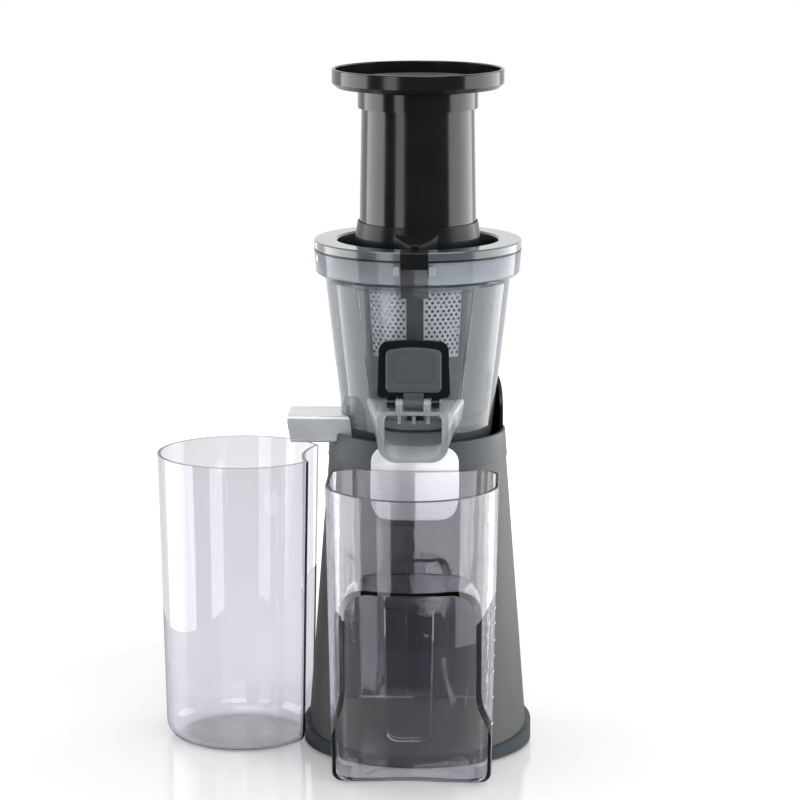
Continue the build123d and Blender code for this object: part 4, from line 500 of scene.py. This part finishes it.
# two clear lugs on the bowl's band, either side of the lid's latch
LUG_SIZE = Vector((4.0, 3.0, 6.4)) * MM
LUG_X = 11.3 * MM
LUG_DROP = 5.2 * MM                # from the bowl's rim to the middle of a lug
LUG_STANDS = 1.0 * MM              # middle of a lug outside the band
LUG_ROUND = 0.9 * MM
for side, side_name in ((-1, "left"), (1, "right")):
    lug_bm = bmesh.new()
    bmesh.ops.create_cube(lug_bm, size=1.0)
    bmesh.ops.scale(lug_bm, vec=LUG_SIZE, verts=lug_bm.verts)
    bmesh.ops.bevel(lug_bm, geom=lug_bm.edges[:], offset=LUG_ROUND, segments=3, profile=0.5, affect="EDGES")
    lug_y = -sqrt(band_r ** 2 - LUG_X ** 2) - LUG_STANDS
    bmesh.ops.translate(lug_bm, vec=(side * LUG_X, lug_y, bowl_rim_z - LUG_DROP), verts=lug_bm.verts)
    lug = new_piece("latch_lug_%s" % side_name, lug_bm, spout_smoke, "bowl")

# measuring scale on the jug's right flank
SCALE_AT_Y = -106.0 * MM
SCALE_LINE = 0.9 * MM
SCALE_LONG, SCALE_SHORT = 7.0 * MM, 4.0 * MM
SCALE_MARKS = ((116.0, SCALE_LONG), (106.0, SCALE_SHORT), (95.0, SCALE_SHORT), (85.0, SCALE_SHORT),
               (75.0, SCALE_LONG), (58.0, SCALE_SHORT), (41.0, SCALE_LONG))
ALONG_FLANK = Vector((0.0, 1.0, 0.0))
flank_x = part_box("juice_jug")[1].x
scale_bm = bmesh.new()
for mark_z, mark_w in SCALE_MARKS:
    place = Vector((flank_x, SCALE_AT_Y, mark_z * MM))
    laid_bar(scale_bm, "juice_jug", place, ALONG_FLANK, UP, mark_w, SCALE_LINE)
scale = new_piece("jug_scale", scale_bm, mark_white, "jug")

# screws of the floor plate
SCREW_CIRCLE_R = 52.0 * MM
SCREW_TURNS = (0.0, 90.0, 180.0, 270.0)
SCREW_SIDES = 24
HEAD_R = 3.2 * MM
HEAD_T = 1.2 * MM
SOCKET_R = 1.5 * MM
# each ring's radius and depth below the plate: head, its rounded edge, socket
SCREW_RINGS = ((HEAD_R, 0.0), (HEAD_R, HEAD_T * 0.7), (HEAD_R * 0.85, HEAD_T), (SOCKET_R, HEAD_T),
               (SOCKET_R * 0.8, HEAD_T * 0.3))
plate_low_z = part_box("bottom_plate")[0].z
screw_bm = bmesh.new()
for turn_deg in SCREW_TURNS:
    middle_x, middle_y, _ = around(SCREW_CIRCLE_R, turn_deg, 0.0)
    rings = []
    for radius, depth in SCREW_RINGS:
        angles = [2 * pi * k / SCREW_SIDES for k in range(SCREW_SIDES)]
        rings.append([screw_bm.verts.new((middle_x + radius * cos(angle), middle_y + radius * sin(angle),
                                          plate_low_z - depth)) for angle in angles])
    for low, high in zip(rings, rings[1:]):
        for k in range(SCREW_SIDES):
            n = (k + 1) % SCREW_SIDES
            screw_bm.faces.new((low[k], low[n], high[n], high[k]))
    screw_bm.faces.new(rings[0])
    screw_bm.faces.new(rings[-1])
screws = new_piece("plate_screws", screw_bm, motor_steel, "base")

# ---- studio: floor, surroundings, soft boxes ----------------------------------------------------------
WHITE = (1.0, 1.0, 1.0, 1.0)
FLOOR_RADIUS = 1.4
FLOOR_SEGMENTS = 96
TABLE_RADIUS = 0.42                # how far the object sees the floor; lamps shine up past its edge
FLOOR_GREY = (0.30, 0.30, 0.30, 1.0)            # what the object sees of the floor
FLOOR_PALE = (0.60, 0.60, 0.605)                # what the viewer sees of it
FLOOR_GLOSS = 0.10
FLOOR_GLOW = 0.22                  # its own light, seen through clear plastic
GLOW_NEAR, GLOW_FAR = -0.07, 0.58  # what the viewer sees added to that, near and far
GLOW_FROM, GLOW_TO = 0.30, 0.75    # over these distances from the middle
BACK_FROM, BACK_TO = -0.22, -0.08  # y where the floor turns pale for what is seen through clear plastic
ROOM_FRONT, ROOM_BACK = 0.07, 1.0  # brightness of the room in front of the object and behind it
ROOM_FROM, ROOM_TO = -0.05, 0.6    # y of the directions it changes between
REFRACTED_ROOM = 0.3               # least brightness of the room through clear plastic

floor_mesh = bpy.data.meshes.new("floor")
floor_bm = bmesh.new()
bmesh.ops.create_circle(floor_bm, cap_ends=True, segments=FLOOR_SEGMENTS, radius=FLOOR_RADIUS)
floor_bm.to_mesh(floor_mesh)
floor_bm.free()
floor = bpy.data.objects.new("floor", floor_mesh)
bpy.context.collection.objects.link(floor)
floor_mat, ft, floor_shader = base_material("floor", FLOOR_PALE, FLOOR_GLOSS, Emission_Color=WHITE)
dull = node_of(ft, "ShaderNodeBsdfDiffuse", Color=FLOOR_GREY)
open_edge = ft.nodes.new("ShaderNodeBsdfTransparent")
floor_path = ft.nodes.new("ShaderNodeLightPath")
floor_place = ft.nodes.new("ShaderNodeTexCoord")
floor_axes = ft.nodes.new("ShaderNodeSeparateXYZ")
ft.links.new(floor_place.outputs["Object"], floor_axes.inputs["Vector"])
reach = ft.nodes.new("ShaderNodeVectorMath")
reach.operation = "LENGTH"
ft.links.new(floor_place.outputs["Object"], reach.inputs[0])
seen = floor_path.outputs["Is Camera Ray"]
at_back = spread(ft, floor_axes.outputs["Y"], BACK_FROM, BACK_TO, 0.0, 1.0)
through = math_node(ft, "MULTIPLY", at_back, floor_path.outputs["Is Transmission Ray"])
pale_share = math_node(ft, "MAXIMUM", through, seen)
glow = spread(ft, reach.outputs["Value"], GLOW_FROM, GLOW_TO, GLOW_NEAR, GLOW_FAR)
ft.links.new(math_node(ft, "MULTIPLY_ADD", glow, seen, FLOOR_GLOW), floor_shader.inputs["Emission Strength"])
beyond = math_node(ft, "GREATER_THAN", reach.outputs["Value"], TABLE_RADIUS)
table = mix_shader(ft, beyond, dull.outputs["BSDF"], open_edge.outputs["BSDF"])
floor_look = mix_shader(ft, pale_share, table, floor_shader.outputs["BSDF"])
ft.links.new(floor_look, ft.nodes["Material Output"].inputs["Surface"])
floor_mesh.materials.append(floor_mat)

world = bpy.data.worlds.new("studio")
bpy.context.scene.world = world
world.use_nodes = True
wt = world.node_tree
wt.nodes.clear()
world_out = wt.nodes.new("ShaderNodeOutputWorld")
light_path = wt.nodes.new("ShaderNodeLightPath")
direction = wt.nodes.new("ShaderNodeTexCoord")
split = wt.nodes.new("ShaderNodeSeparateXYZ")
wt.links.new(direction.outputs["Generated"], split.inputs["Vector"])
behind = spread(wt, split.outputs["Y"], ROOM_FROM, ROOM_TO, ROOM_FRONT, ROOM_BACK)
refracted = math_node(wt, "MULTIPLY", light_path.outputs["Is Transmission Ray"], REFRACTED_ROOM)
room = node_of(wt, "ShaderNodeBackground", Color=WHITE)
wt.links.new(math_node(wt, "MAXIMUM", behind, refracted), room.inputs["Strength"])
paper = node_of(wt, "ShaderNodeBackground", Color=WHITE, Strength=1.0)
world_look = mix_shader(wt, light_path.outputs["Is Camera Ray"], room.outputs["Background"],
                        paper.outputs["Background"])
wt.links.new(world_look, world_out.inputs["Surface"])

AIM_Z = 0.22                       # height that the lamps point at


def soft_box(name, azimuth_deg, distance, height, width, tall, power):
    """Upright area light at an azimuth from the viewer's side, positive to the right, aimed at the object."""
    data = bpy.data.lights.new(name, "AREA")
    data.shape = "RECTANGLE"
    data.size = width
    data.size_y = tall
    data.energy = power
    lamp = bpy.data.objects.new(name, data)
    bpy.context.collection.objects.link(lamp)
    turn = radians(azimuth_deg)
    lamp.location = (distance * sin(turn), -distance * cos(turn), height)
    aim = Vector((0.0, 0.0, AIM_Z)) - lamp.location
    lamp.rotation_euler = aim.to_track_quat("-Z", "Y").to_euler()
    lamp.visible_camera = False
    return lamp


soft_box("box_left", -94.0, 1.25, 0.15, 1.25, 1.8, 26.0)
soft_box("box_strip", -34.0, 1.6, 0.15, 0.5, 1.8, 7.0)
soft_box("box_right", 103.0, 1.25, 0.15, 1.9, 1.8, 32.0)
soft_box("box_top", 0.0, 0.35, 1.7, 1.6, 1.6, 16.0)
fill = soft_box("fill", 30.0, 1.7, 0.55, 2.2, 1.3, 38.0)
fill.visible_glossy = False

bpy.context.scene.view_settings.view_transform = "Standard"
